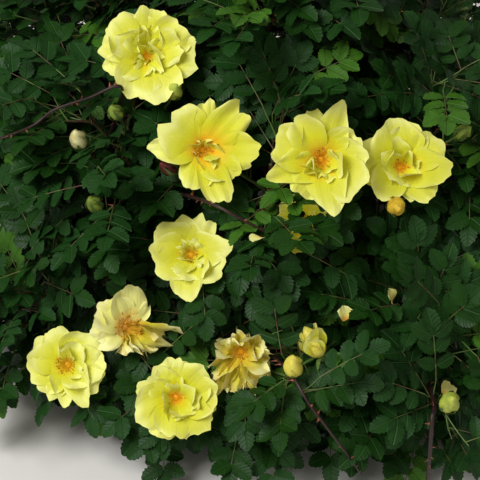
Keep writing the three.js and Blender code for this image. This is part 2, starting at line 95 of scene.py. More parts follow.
CAD_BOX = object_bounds()
MM = 0.001
BODY = "root"
UP = np.array([0.0, 0.0, 1.0])
GOLDEN_ANGLE = math.pi * (3 - math.sqrt(5))
GOLDEN_SHARE = 0.618034

# The growing rule, as the part's source has it, in millimetres and degrees

STUMP_HEART = np.array([0.0, 0.0, 30.0])
CROWN_MIDDLE = np.array([0.0, 30.0, 60.0])
CLEARANCE = 0.3
TIERS = (
    {
        "level": "low", "turned": -14, "middle": (4, 26), "reach": (158, 116), "height": 80, "twigs": 50,
        "sides": ("front", "front_right", "right", "back_right", "back", "back_left", "left", "front_left"),
        "cane_radius": 9, "cane_height": 22, "cane_base": 3.4,
    },
    {
        "level": "high", "turned": 0, "middle": (0, 44), "reach": (116, 78), "height": 182, "twigs": 90,
        "sides": ("front", "front_right", "back_right", "back", "back_left", "front_left"),
        "cane_radius": 8.4, "cane_height": 36, "cane_base": 3.2,
    },
    {
        "level": "top", "turned": 0, "middle": (0, 48), "reach": (0, 0), "height": 242, "twigs": 70,
        "sides": ("",),
        "cane_radius": 0, "cane_height": 40, "cane_base": 3.0,
    },
)
CANE_TIP, CANE_SHORT, CANE_ARCH, CANE_SWEEP, CANE_DROP = 1.9, 0.42, 0.42, 0.3, 0.12
STEM_TIP, STEM_STEPS, STEM_PAST_MIDDLE, STEM_SAG = 1.5, 5, 34, 6
TWIG_REACH, TWIG_SHORTEST, TWIG_SLANT, TWIG_STRAIGHT, FEWEST_LEAVES = 64, 26, 0.14, 0.16, 3
# Leafy twigs: shares of their reach, how they rise, where they leave the stem, how far back they may point
# and how level they arrive
LEAFY_REACH, LEAFY_RISE, LEAFY_AT = (0.75, 1.05), (0.15, 0.4), (0.3, 0.97)
LEAFY_BACK, LEAFY_LEVEL = -0.55, 0.35
# A flower's twig: the lowest, usual and highest place where it leaves the stem, how that falls with distance,
# and how far apart such places are
FLOWER_AT, FLOWER_FALL, FLOWER_APART = (0.3, 0.8, 0.95), 260, 0.045
LEAVES_AT = (0.26, 0.43, 0.6, 0.77, 0.92)
BLOOM_LEAVES_AT = (0.3, 0.55, 0.78)
BLOOM_STRAIGHT, BLOOM_FOOT, BUD_FOOT, SIGHT_CLEAR = 34, 0.26, 1.1, 130
LEAF_LENGTH, LEAF_WIDTH, LEAF_SPACING, LIMB_SPACING = (50, 62), 0.6, 5.5, 3
SPLAY, TIP_SPLAY = (58, 78, 44, 98), (0, 30, -30, 55)
GROUND_CLEAR, NEIGHBOUR_GAP, OWN_GAP, LIMB_GAP, OWN_LIMB_GAP, LIMB_CELL = 12, 6.5, 4.5, 5, 3.2, 14
# Shares of a leaf from which its blade needs room, takes room and has to clear its own mass's limbs
BLADE_NEEDS, BLADE_TAKES, BLADE_CLEARS = 0.12, 0.2, 0.25
# How much a leaf faces up and outwards, and how far its splay may vary
FACE_UP, FACE_OUT, SPLAY_SWAY = 1.1, 0.75, 16
# The room round a bloom's face, in the way before it and behind it: shares of its radius, and margins in mm
FACE_ROOM, FACE_MARGIN, FACE_DEPTH, WAY_ROOM, BACK_ROOM, BACK_MARGIN = 1.04, 3, 0.9, 0.8, 0.6, 4

# The photographed view: a square picture of PICTURE_SIDE pixels that spans PICTURE_SPAN mm where it is aimed
PICTURE_SIDE, PICTURE_SPAN, PICTURE_DISTANCE, LOOK_DOWN = 480, 330, 1300, 45
PICTURE_AIM = np.array([-20.0, -46.0, 138.0])

# Blooms in that picture: pixels across and down, height above the ground, width, turn from the front and rise
FRONT_BLOOMS = (
    (147, 55, 262, 66, 8, 55),
    (203, 149, 222, 70, 4, 48),
    (190, 254, 160, 56, -8, 52),
    (322, 159, 226, 66, 6, 46),
    (401, 166, 208, 60, 8, 50),
    (304, 224, 158, 46, -6, 55),
    (127, 327, 112, 56, 30, 40),
    (67, 365, 88, 58, -6, 46),
    (176, 398, 84, 62, 0, 46),
    (241, 352, 104, 44, 2, 40),
)
# The bloom that stands deep in the shade, and how far the way before it is kept clear
SHADED_BLOOM, SHADED_SIGHT = 5, 75
FRONT_BUDS = (
    (174, 92, 246, 13, 20, 60),
    (116, 113, 234, 12, -30, 60),
    (79, 141, 212, 14, -20, 70),
    (170, 168, 208, 12, -50, 50),
    (95, 205, 176, 13, -30, 60),
    (293, 372, 120, 15, -10, 60),
    (316, 345, 126, 17, 20, 50),
    (449, 403, 108, 16, 10, 60),
    (394, 201, 190, 14, 10, 35),
    (462, 133, 222, 12, 40, 55),
)
CROWN_SURFACE = {"middle": np.array([2.0, 34.0, 50.0]), "radii": np.array([212.0, 165.0, 246.0])}
FAR_SIDE = {"count": 14, "turns": (62, 250), "climbs": (0.14, 0.66), "blooms": (58, 66), "bud": 13}

# Finer side shoots, which only the looks have: where they leave a twig, and how much closer they may come
FINE = {
    "at": ((0.22, 0.4, 0.58, 0.76, 0.93), (0.31, 0.6, 0.85)),
    "length": (14, 30), "lean": (35, 75), "leaves_at": (0.5, 0.85), "leaf_length": (40, 56), "sight": 26,
    "gap": 3.4, "neighbour_gap": 4.2, "limb_gap": 2.4, "clears": 0.3, "twig_margin": 3, "leaf_margin": 4,
}

# Where longer shoots end: pixels across and down, and height above the ground
CORNER_SPOTS = (
    (16, 24, 212), (34, 48, 206), (10, 62, 184), (46, 14, 222), (4, 40, 196), (26, 72, 190), (60, 30, 218),
    (8, 26, 150), (4, 36, 130), (35, 18, 150), (84, 20, 160), (112, 2, 170), (384, 2, 170), (410, 3, 172),
    (434, 2, 164), (33, 12, 142), (60, 16, 134), (20, 22, 136), (476, 4, 150), (82, 23, 134),
)


def mix(a, b, share):
    return a + (b - a) * share


def unit(vector):
    return vector / np.linalg.norm(vector)


def stream(seed):
    """A repeatable stream of numbers from 0 to 1."""
    state = seed

    def draw():
        nonlocal state
        state = (state * 48271) % 2147483647
        return state / 2147483647

    return draw


def facing(turn, rise):
    turn, rise = math.radians(turn), math.radians(rise)
    return np.array([math.sin(turn) * math.cos(rise), -math.cos(turn) * math.cos(rise), math.sin(rise)])


def picture_axes():
    """The picture's eye, and its directions ahead and upwards."""
    pitch = math.radians(LOOK_DOWN)
    ahead = np.array([0.0, math.cos(pitch), -math.sin(pitch)])
    above = np.array([0.0, math.sin(pitch), math.cos(pitch)])
    return PICTURE_AIM - ahead * PICTURE_DISTANCE, ahead, above


def seen_at(across, down, height):
    """The point at the given height that the picture shows at a pixel."""
    eye, ahead, above = picture_axes()
    scale = PICTURE_SPAN / PICTURE_SIDE
    ray = ahead * PICTURE_DISTANCE + above * (PICTURE_SIDE / 2 - down) * scale
    ray[0] += (across - PICTURE_SIDE / 2) * scale
    return eye + ray * (height - eye[2]) / ray[2]


class Curve:
    """A cubic curve through its first and last point."""

    def __init__(self, *points):
        self.points = np.array(points, dtype=float)

    def at(self, t):
        t = np.asarray(t, dtype=float)[..., None]
        k = 1 - t
        a, b, c, d = self.points
        return k * k * k * a + 3 * k * k * t * b + 3 * k * t * t * c + t * t * t * d

    def tangent(self, t):
        return unit(self.at(min(t + 0.0001, 1)) - self.at(max(t - 0.0001, 0)))

    def length(self):
        steps = self.at(np.linspace(0, 1, 201))
        return float(np.linalg.norm(np.diff(steps, axis=0), axis=1).sum())

    def samples(self):
        count = math.ceil(self.length() / LIMB_SPACING)
        return self.at(np.arange(count + 1) / count)


def turned_about(vector, axis, degrees):
    angle = math.radians(degrees)
    along = axis * np.dot(axis, vector) * (1 - math.cos(angle))
    return vector * math.cos(angle) + np.cross(axis, vector) * math.sin(angle) + along


class Room:
    """What is already taken, in cells of a grid, so that nothing new touches it."""

    def __init__(self, cell):
        self.cell = cell
        self.cells = {}

    def take(self, points, owner):
        for point in points.tolist():
            spans = [range(int(v // self.cell) - 1, int(v // self.cell) + 2) for v in point]
            for near in itertools.product(*spans):
                self.cells.setdefault(near, []).append((*point, owner))

    def free(self, points, owner, own, other):
        """Whether every point is farther than own from what the owner has and than other from the rest."""
        cells, cell = self.cells, self.cell
        for x, y, z in points.tolist():
            for a, b, c, whose in cells.get((int(x // cell), int(y // cell), int(z // cell)), ()):
                gap = own if whose == owner else other
                if (a - x) ** 2 + (b - y) ** 2 + (c - z) ** 2 < gap * gap:
                    return False
        return True


def plan_masses():
    masses = []
    for tier in TIERS:
        for i, side in enumerate(tier["sides"]):
            azimuth = math.radians(tier["turned"] + 360 * i / len(tier["sides"]))
            outwards = np.array([math.sin(azimuth), -math.cos(azimuth), 0.0])
            middle = np.array([*tier["middle"], tier["height"]]) + outwards * np.array([*tier["reach"], 0.0])
            start = outwards * tier["cane_radius"] + UP * tier["cane_height"]
            cane = cane_curve(start, middle, outwards if side else outwards * 0)
            outward = unit(middle - CROWN_MIDDLE)
            mass = {"name": f"{tier['level']}_{side}".rstrip("_"), "tier": tier, "number": len(masses) + 1}
            mass |= {"middle": middle, "outward": outward, "cane": cane, "shoots": []}
            masses.append({**mass, "stem": mass_stem(cane, middle, outward)})
    return masses


def cane_curve(start, middle, sideways):
    """A cane climbs steeply from the rootstock and arches over into its mass."""
    end = mix(middle, STUMP_HEART, CANE_SHORT)
    reach = np.linalg.norm(end - start)
    leaves = start + sideways * reach * CANE_SWEEP + UP * reach * CANE_ARCH
    arrives = mix(end, middle, -CANE_SWEEP) + UP * reach * CANE_DROP
    return Curve(start, leaves, arrives, end)


def mass_stem(cane, middle, outward):
    heading = cane.tangent(1)
    start = cane.at(1) + heading * CLEARANCE
    half = heading * np.linalg.norm(middle - start) * 0.5
    return Curve(start, start + half, middle - UP * STEM_SAG, middle + outward * STEM_PAST_MIDDLE)


def plan_flowers(middles):
    """Each flower's kind, width, place, direction, clear sight and mass, the front ones first."""
    spots = [
        (kind, width, seen_at(across, down, height), facing(turn, rise))
        for kind, row in (("bloom", FRONT_BLOOMS), ("bud", FRONT_BUDS))
        for across, down, height, width, turn, rise in row
    ]
    for i in range(FAR_SIDE["count"]):
        climb = mix(*FAR_SIDE["climbs"], (i + 0.5) / FAR_SIDE["count"])
        faces = facing(mix(*FAR_SIDE["turns"], (i * GOLDEN_SHARE + 0.3) % 1), math.degrees(math.asin(climb)))
        centre = CROWN_SURFACE["middle"] + faces * CROWN_SURFACE["radii"]
        kind, width = "bloom", mix(*FAR_SIDE["blooms"], (i % 3) / 2)
        if i % 5 > 2:
            kind, width = "bud", FAR_SIDE["bud"]
        spots.append((kind, width, centre, faces))
    flowers = []
    for number, (kind, width, centre, faces) in enumerate(spots):
        flower = {"number": number, "kind": kind, "width": width, "centre": centre, "faces": faces}
        sight = SHADED_SIGHT if number == SHADED_BLOOM else SIGHT_CLEAR
        flowers.append({**flower, "sight": sight, "mass": nearest(middles, centre) + 1})
    return flowers


def nearest(places, point):
    return int(((places - point) ** 2).sum(1).argmin())


def twig_from(stem, t, arrives, end):
    """A twig leaves its stem at a slant, from the straight runs that the solid stem has."""
    step = min(math.floor(t * STEM_STEPS), STEM_STEPS - 1)
    start = mix(stem.at(step / STEM_STEPS), stem.at((step + 1) / STEM_STEPS), t * STEM_STEPS - step)
    slant = np.linalg.norm(end - start) * TWIG_SLANT
    return Curve(start, mix(start, end, TWIG_STRAIGHT) + stem.tangent(t) * slant, arrives, end)


def foot_of(flower):
    """Where a flower's twig ends."""
    foot = BLOOM_FOOT if flower["kind"] == "bloom" else BUD_FOOT
    return flower["centre"] - flower["faces"] * foot * flower["width"] / 2


def flower_twig(flower, stem, number):
    top = foot_of(flower)
    below = top - flower["faces"] * BLOOM_STRAIGHT
    lowest, usual, highest = FLOWER_AT
    t = min(highest, max(lowest, usual - np.linalg.norm(stem.at(usual) - below) / FLOWER_FALL))
    return twig_from(stem, t - number * FLOWER_APART, below, top)


def leafy_twigs(mass, draw):
    """Leafy twigs point evenly in all directions but straight back at the stump."""
    twigs = []
    count = mass["tier"]["twigs"]
    for i in range(count):
        height = 1 - 2 * (i + 0.5) / count
        azimuth = i * GOLDEN_ANGLE + draw() * 0.6
        level = math.sqrt(1 - height * height)
        way = np.array([math.cos(azimuth) * level, math.sin(azimuth) * level, height])
        reach = TWIG_REACH * mix(*LEAFY_REACH, draw())
        rise = mix(*LEAFY_RISE, draw())
        outwards = float(np.dot(way, mass["outward"]))
        t = mix(*LEAFY_AT, (1 + outwards) / 2)
        end = mass["middle"] + way * reach
        length = np.linalg.norm(end - mass["stem"].at(t))
        if outwards >= LEAFY_BACK and length >= TWIG_SHORTEST:
            arrives = end - way * length * LEAFY_LEVEL - UP * length * rise
            twigs.append(twig_from(mass["stem"], t, arrives, end))
    return twigs


def turns_of(twig, t, splays, mass, draw, lengths=LEAF_LENGTH):
    """The turns that one leaf may take, with its face turned up and outwards."""
    length = mix(*lengths, draw())
    root, along = twig.at(t), twig.tangent(t)
    face = np.array([draw() - 0.5, draw() - 0.5, FACE_UP]) + mass["outward"] * FACE_OUT
    normal = unit(face - along * np.dot(face, along) * 0.5)
    turns = []
    for splay in splays:
        way = turned_about(along, normal, splay + (draw() - 0.5) * SPLAY_SWAY)
        way = unit(way - normal * np.dot(way, normal) * 0.7)
        up = unit(normal - way * np.dot(normal, way))
        turn = {"root": root, "length": length, "along": way, "across": np.cross(up, way), "normal": up}
        turns.append(turn)
    return turns


def leaves_on(twig, stops, mass, draw, lengths=LEAF_LENGTH):
    """Leaves leave a twig on alternate sides."""
    turned = [[splay * (1 if i % 2 else -1) for splay in SPLAY] for i in range(len(stops))]
    return [turns_of(twig, t, splays, mass, draw, lengths) for t, splays in zip(stops, turned)]


def leaf_samples(leaf, start):
    """Points spread over a leaf, close enough together that none slips through another."""
    rows = math.ceil(leaf["length"] / LEAF_SPACING)
    places = []
    for row in range(math.ceil(rows * start), rows + 1):
        share = row / rows
        half = (leaf["length"] * LEAF_WIDTH / 2) * (1 - abs(2 * share - 1))
        columns = math.ceil(half / LEAF_SPACING)
        for column in range(-columns, columns + 1):
            places.append((leaf["length"] * share, half * column / columns if columns else 0.0))
    return leaf["root"] + np.array(places) @ np.array([leaf["along"], leaf["across"]])


def apart(points, leaves, gap):
    """Whether every point is farther than the gap from each of the leaves."""
    taken = (leaf_samples(leaf, BLADE_TAKES) for leaf in leaves)
    return all((((points[:, None] - there[None]) ** 2).sum(2) > gap * gap).all() for there in taken)


def shoots_wanted(mass, flowers):
    """What one mass wants to grow, in order: twigs, each with the turns that each of its leaves may take."""
    draw = stream(mass["number"] * 7919)
    shoots = []
    for number, flower in enumerate(flowers):
        twig = flower_twig(flower, mass["stem"], number)
        shoots.append({"twig": twig, "grade": "bloom", "turns": leaves_on(twig, BLOOM_LEAVES_AT, mass, draw)})
    for twig in leafy_twigs(mass, draw):
        leaves = leaves_on(twig, LEAVES_AT, mass, draw)
        last = turns_of(twig, 1, TIP_SPLAY, mass, draw)
        shoots.append({"twig": twig, "grade": "leafy", "turns": [last, *leaves]})
    return shoots


class Bush:
    """The whole plant as it grows: masses, the shoots kept in each, and the flowers."""

    def __init__(self):
        self.low, self.high = (np.array(corner) / MM for corner in CAD_BOX)
        self.masses = plan_masses()
        self.middles = np.array([mass["middle"] for mass in self.masses])
        self.flowers = plan_flowers(self.middles)
        self.centres, self.faces, widths, self.sights, self.bloom_masses = (
            np.array([flower[fact] for flower in self.flowers])
            for fact in ("centre", "faces", "width", "sight", "mass")
        )
        self.radii = widths / 2
        self.fine_sights = np.where(self.sights < SIGHT_CLEAR, FINE["sight"], self.sights)
        self.limbs, self.leaves = Room(LIMB_CELL), Room(NEIGHBOUR_GAP)
        for mass in self.masses:
            wanted = shoots_wanted(mass, [own for own in self.flowers if own["mass"] == mass["number"]])
            fixed = [shoot["twig"] for shoot in wanted if shoot["grade"] == "bloom"]
            for curve in (mass["cane"], mass["stem"], *fixed):
                self.limbs.take(curve.samples(), mass["number"])
            mass["wanted"] = wanted
        for turn in itertools.zip_longest(*(mass["wanted"] for mass in self.masses)):
            for mass, shoot in zip(self.masses, turn):
                if shoot:
                    self.grow_shoot(mass, shoot)
        for number, spot in enumerate(CORNER_SPOTS):
            self.corner_shoot(seen_at(*spot), stream(50021 + number * 97))
        for stops in FINE["at"]:
            for mass in self.masses:
                draw = stream(mass["number"] * 15485863)
                for carrier in [mass["stem"], *(shoot["twig"] for shoot in mass["shoots"])]:
                    for t in stops:
                        self.side_shoot(mass, carrier, t, draw)

    def hides_bloom(self, points, mass, sights):
        """The space that each bloom needs, and a clear way in front of it."""
        away = points[:, None] - self.centres[None]
        ahead = (away * self.faces).sum(2)
        squared = (away**2).sum(2)
        aside = np.sqrt(np.maximum(0, squared - ahead**2))
        behind = np.sqrt(squared) < self.radii * BACK_ROOM + BACK_MARGIN
        behind &= self.bloom_masses != mass["number"]
        beside = aside < self.radii * FACE_ROOM + FACE_MARGIN
        before = (ahead < sights) & (aside < self.radii * WAY_ROOM)
        in_front = np.where(ahead < self.radii * FACE_DEPTH, beside, before)
        return bool(np.where(ahead < 0, behind, in_front).any())

    def inside(self, points, margin):
        """Whether points stay off the ground and within the box of the solids."""
        past = (points < self.low + margin).any() or (points > self.high - margin).any()
        return not past and points[:, 2].min() >= GROUND_CLEAR

    def twig_fits(self, twig, mass):
        points = twig.samples()
        number = mass["number"]
        owners = ((points[:, None] - self.middles[None]) ** 2).sum(2).argmin(1) + 1
        return (
            (points[:, 2] > GROUND_CLEAR + 4).all()
            and (owners == number).all()
            and self.limbs.free(points, number, 0, LIMB_GAP)
            and self.leaves.free(points, number, OWN_LIMB_GAP, LIMB_GAP + 1)
            and not self.hides_bloom(points, mass, self.sights)
        )

    def leaf_fits(self, leaf, mass, kept):
        points = leaf_samples(leaf, BLADE_NEEDS)
        number = mass["number"]
        return (
            (points[:, 2] > GROUND_CLEAR).all()
            and self.leaves.free(points, number, OWN_GAP, NEIGHBOUR_GAP)
            and self.limbs.free(points, number, 0, LIMB_GAP + 3)
            and self.limbs.free(leaf_samples(leaf, BLADE_CLEARS), number, OWN_LIMB_GAP, 0)
            and not self.hides_bloom(points, mass, self.sights)
            and apart(points, kept, OWN_GAP)
        )

    def fine_leaf_fits(self, leaf, mass, kept):
        points = leaf_samples(leaf, BLADE_NEEDS)
        number, limb_gap = mass["number"], FINE["limb_gap"]
        return (
            self.inside(points, FINE["leaf_margin"])
            and self.leaves.free(points, number, FINE["gap"], FINE["neighbour_gap"])
            and self.limbs.free(leaf_samples(leaf, FINE["clears"]), number, limb_gap, limb_gap)
            and not self.hides_bloom(points, mass, self.fine_sights)
            and apart(points, kept, FINE["gap"])
        )

    def keep(self, mass, twig, grade, turns, fits, fewest=0):
        """Keeps the first turn that fits of each leaf, and with enough leaves the shoot."""
        kept = []
        for choices in turns:
            leaf = next((leaf for leaf in choices if fits(leaf, mass, kept)), None)
            if leaf:
                kept.append(leaf)
        if len(kept) < fewest:
            return False
        for leaf in kept:
            self.leaves.take(leaf_samples(leaf, BLADE_TAKES), mass["number"])
        mass["shoots"].append({"twig": twig, "grade": grade, "leaves": kept})
        return True

    def grow_shoot(self, mass, shoot):
        """A shoot as the solids have it. A bloom's twig always stands, and its room is taken already."""
        if shoot["grade"] == "bloom":
            self.keep(mass, **shoot, fits=self.leaf_fits)
        elif self.twig_fits(shoot["twig"], mass):
            if self.keep(mass, **shoot, fits=self.leaf_fits, fewest=FEWEST_LEAVES):
                self.limbs.take(shoot["twig"].samples(), mass["number"])

    def corner_shoot(self, end, draw):
        """A longer shoot that closes the crown at one of the picture's far corners."""
        mass = self.masses[nearest(self.middles, end)]
        start = mass["stem"].at(0.85)
        twig = Curve(start, mix(start, end, 0.35) + UP * 4, mix(start, end, 0.7) - UP * 6, end)
        turns = [turns_of(twig, 1, TIP_SPLAY, mass, draw), *leaves_on(twig, LEAVES_AT[1:], mass, draw)]
        self.keep(mass, twig, "leafy", turns, self.fine_leaf_fits)

    def side_shoot(self, mass, carrier, t, draw):
        along = carrier.tangent(t)
        about = turned_about(unit(np.cross(along, UP + mass["outward"] * 0.3)), along, draw() * 360)
        way = turned_about(along, about, mix(*FINE["lean"], draw()))
        way = unit(way + UP * 0.25)
        start = carrier.at(t)
        end = start + way * mix(*FINE["length"], draw())
        twig = Curve(start, mix(start, end, 0.3) + along * 2, mix(start, end, 0.7) - UP * 1.5, end)
        turns = [turns_of(twig, 1, TIP_SPLAY, mass, draw, FINE["leaf_length"])]
        turns += leaves_on(twig, FINE["leaves_at"], mass, draw, FINE["leaf_length"])
        points = twig.samples()
        if self.inside(points, FINE["twig_margin"]) and not self.hides_bloom(points, mass, self.fine_sights):
            self.keep(mass, twig, "fine", turns, self.fine_leaf_fits, 1)


@functools.lru_cache(maxsize=1)
def grown_bush():
    return Bush()


# Settings that a user would change


def linear(hex_colour):
    """An sRGB hex colour as linear red, green and blue."""
    channels = [int(hex_colour[i : i + 2], 16) / 255 for i in (1, 3, 5)]
    return tuple(c / 12.92 if c <= 0.04045 else ((c + 0.055) / 1.055) ** 2.4 for c in channels)


def colour(name, description, hex_colour):
    return bpy.props.FloatVectorProperty(
        name=name, description=description, subtype="COLOR", size=3, min=0, max=1, default=linear(hex_colour)
    )


def length(name, description, metres):
    return bpy.props.FloatProperty(name=name, description=description, default=metres, min=0, unit="LENGTH")


class RoseStemSettings(bpy.types.PropertyGroup):
    relief: length("Bark relief", "How far the old bark stands out between its cracks", 0.0012)
    prickle: length("Prickle length", "Length of a prickle from the middle of its cane", 0.0072)
    prickle_spacing: length("Prickle spacing", "Distance between places where a prickle may stand", 0.0035)
    old_bark: colour("Old bark", "Ridges of the grey-brown bark of the rootstock", "#6b574a")
    cane_bark: colour("Cane bark", "Dark wine-brown skin of the canes", "#4a2622")
    green_bark: colour("Shoot", "Green skin of this year's shoots and leaf stalks", "#5d7a35")


class RoseLeafSettings(bpy.types.PropertyGroup):
    longest: length("Leaflet length", "Length of the end leaflet of the longest leaf", 0.0188)
    deep: colour("Deep green", "Leaves in full growth", "#163a0a")
    blue: colour("Blue green", "Older leaves with a waxy bloom", "#193d12")
    young: colour("Young green", "Leaves near the shoot tips", "#3b6418")
    vein: colour("Midrib", "Midrib and side veins", "#4a7034")


class RoseBloomSettings(bpy.types.PropertyGroup):
    throat: colour("Petal base", "Golden base of each petal", "#e69a06")
    lemon: colour("Petal", "Body of each petal", "#cdcd22")
    rim: colour("Petal rim", "Pale rim of each petal", "#e6e88a")
    faded: colour("Faded petal", "Petals of a bloom past its best", "#f4f2aa")
    wilted: colour("Wilted petal", "Brown that creeps over withered petals", "#deaa42")
    stamen: colour("Filaments", "Threads of the stamens", "#f2c024")
    anther: colour("Anthers", "Pollen sacs of the stamens", "#dca01c")
    stamens: bpy.props.IntProperty(name="Stamens", description="Stamens in a bloom", default=84, min=0)


class RoseStudioSettings(bpy.types.PropertyGroup):
    floor: colour("Floor", "Plain pale floor", "#e9e6e0")
    key: bpy.props.FloatProperty(name="Key light", description="Power of the large lamp in watts", default=32)
    fill: bpy.props.FloatProperty(name="Fill light", description="Power of the fill lamp in watts", default=4)


class RoseBushSettings(bpy.types.PropertyGroup):
    stems: bpy.props.PointerProperty(type=RoseStemSettings)
    leaves: bpy.props.PointerProperty(type=RoseLeafSettings)
    blooms: bpy.props.PointerProperty(type=RoseBloomSettings)
    studio: bpy.props.PointerProperty(type=RoseStudioSettings)


# Materials


def add_node(tree, kind, inputs=None, **settings):
    """One node with its settings. Each input is a value, a socket, or a node whose first output goes in."""
    node = tree.nodes.new(kind)
    for name, value in settings.items():
        setattr(node, name, value)
    for key, value in (inputs or {}).items():
        if isinstance(value, bpy.types.Node):
            value = value.outputs[0]
        if isinstance(value, bpy.types.NodeSocket):
            tree.links.new(value, node.inputs[key])
        else:
            node.inputs[key].default_value = value
    return node


def start_material(name):
    """A new material, the way to add its nodes, and places on the piece that wears it."""
    material = bpy.data.materials.new(name)
    material.use_nodes = True
    material.node_tree.nodes.clear()
    node = functools.partial(add_node, material.node_tree)
    return material, node, node("ShaderNodeTexCoord").outputs["Object"]


def opaque(rgb, share=1.0):
    """The colour, or a darker or lighter share of it, with its alpha."""
    return (*scaled(rgb, share), 1.0)


def scaled(rgb, share):
    return tuple(min(1.0, channel * share) for channel in rgb)


def mix_colours(first, second, share):
    return tuple(mix(a, b, share) for a, b in zip(first, second))


def per_metre(millimetres):
    """The scale of a pattern whose repeat has this real size."""
    return 1 / (millimetres * MM)


# Fissured rose bark, weathered outdoors: matt, grey-brown ridges over darker cracks, which reads as old wood
def old_bark_material(stems):
    material, node, place = start_material("fissured_rose_bark")
    stretch = node("ShaderNodeMapping", {"Vector": place, "Scale": (1, 1, 0.3)})
    grain = {"Scale": per_metre(3.5), "Detail": 6, "Roughness": 0.62, "Distortion": 0.8}
    cracks = node("ShaderNodeTexNoise", {"Vector": stretch, **grain})
    ridge = node("ShaderNodeMapRange", {0: cracks, 1: 0.38, 2: 0.62})
    dark, pale = opaque(stems.old_bark, 0.3), opaque(stems.old_bark)
    tint = node("ShaderNodeMix", {0: ridge, 6: dark, 7: pale}, data_type="RGBA").outputs[2]
    bump = node("ShaderNodeBump", {"Height": cracks, "Strength": 0.8, "Distance": stems.relief})
    look = {"Base Color": tint, "Roughness": 0.9, "Normal": bump, "Specular IOR Level": 0.3}
    node("ShaderNodeOutputMaterial", {"Surface": node("ShaderNodeBsdfPrincipled", look)})
    return material


# Living rose skin, smooth and waxy with fine streaks in a second tone, which give it a soft and uneven gloss:
# the bark of young canes and shoots, leaf stalks and sepals. Prickles, which are horn, furled petals and
# stamens wear it in their own colours.
def skin_material(name, rgb, other, streak_mm, roughness=0.5):
    material, node, place = start_material(name)
    grain = {"Scale": per_metre(streak_mm), "Detail": 3, "Roughness": 0.6}
    streaks = node("ShaderNodeTexNoise", {"Vector": place, **grain})
    share = node("ShaderNodeMapRange", {0: streaks, 1: 0.35, 2: 0.68})
    tint = node("ShaderNodeMix", {0: share, 6: opaque(rgb), 7: opaque(other)}, data_type="RGBA").outputs[2]
    gloss = node("ShaderNodeMapRange", {0: streaks, 3: roughness - 0.08, 4: roughness + 0.12})
    bump = node("ShaderNodeBump", {"Height": streaks, "Strength": 0.35, "Distance": 0.0003})
    shader = node("ShaderNodeBsdfPrincipled", {"Base Color": tint, "Roughness": gloss, "Normal": bump})
    node("ShaderNodeOutputMaterial", {"Surface": shader})
    return material


# Rose leaf: thin, slightly waxy blade pressed up between its veins, so light breaks along midrib and side
# veins. The side veins stand at a sixth of the leaflet's length, about 3 mm.
def leaf_material(name, rgb, vein):
    material, node, place = start_material(name)
    grain = {"Scale": per_metre(14), "Detail": 3, "Roughness": 0.6}
    blotches = node("ShaderNodeTexNoise", {"Vector": place, **grain})
    patchy = {0: blotches, 6: opaque(rgb, 0.54), 7: opaque(rgb, 1.64)}
    tint = node("ShaderNodeMix", patchy, data_type="RGBA").outputs[2]
    along, across, _ = node("ShaderNodeSeparateXYZ", {0: node("ShaderNodeUVMap", uv_map="blade")}).outputs
    aside = node("ShaderNodeMath", {0: across}, operation="ABSOLUTE")
    slant = node("ShaderNodeMath", {0: aside, 1: -0.28, 2: along}, operation="MULTIPLY_ADD")
    wave = node("ShaderNodeMath", {0: slant, 1: 1 / 12}, operation="PINGPONG")
    side_vein = node("ShaderNodeMapRange", {0: wave, 1: 0, 2: 0.02, 3: 1, 4: 0})
    midrib = node("ShaderNodeMapRange", {0: aside, 1: 0.02, 2: 0.11, 3: 1, 4: 0})
    soft = node("ShaderNodeMath", {0: side_vein, 1: 0.3}, operation="MULTIPLY")
    drawn = node("ShaderNodeMath", {0: soft, 1: midrib}, operation="MAXIMUM")
    share = node("ShaderNodeMath", {0: drawn, 1: 0.2}, operation="MULTIPLY")
    veined = node("ShaderNodeMix", {0: share, 6: tint, 7: opaque(vein)}, data_type="RGBA").outputs[2]
    bump = node("ShaderNodeBump", {"Height": drawn, "Strength": 0.8, "Distance": 0.0006}, invert=True)
    gloss = node("ShaderNodeMapRange", {0: blotches, 3: 0.38, 4: 0.62})
    look = {"Base Color": veined, "Roughness": gloss, "Normal": bump, "Specular IOR Level": 0.2}
    node("ShaderNodeOutputMaterial", {"Surface": node("ShaderNodeBsdfPrincipled", look)})
    return material


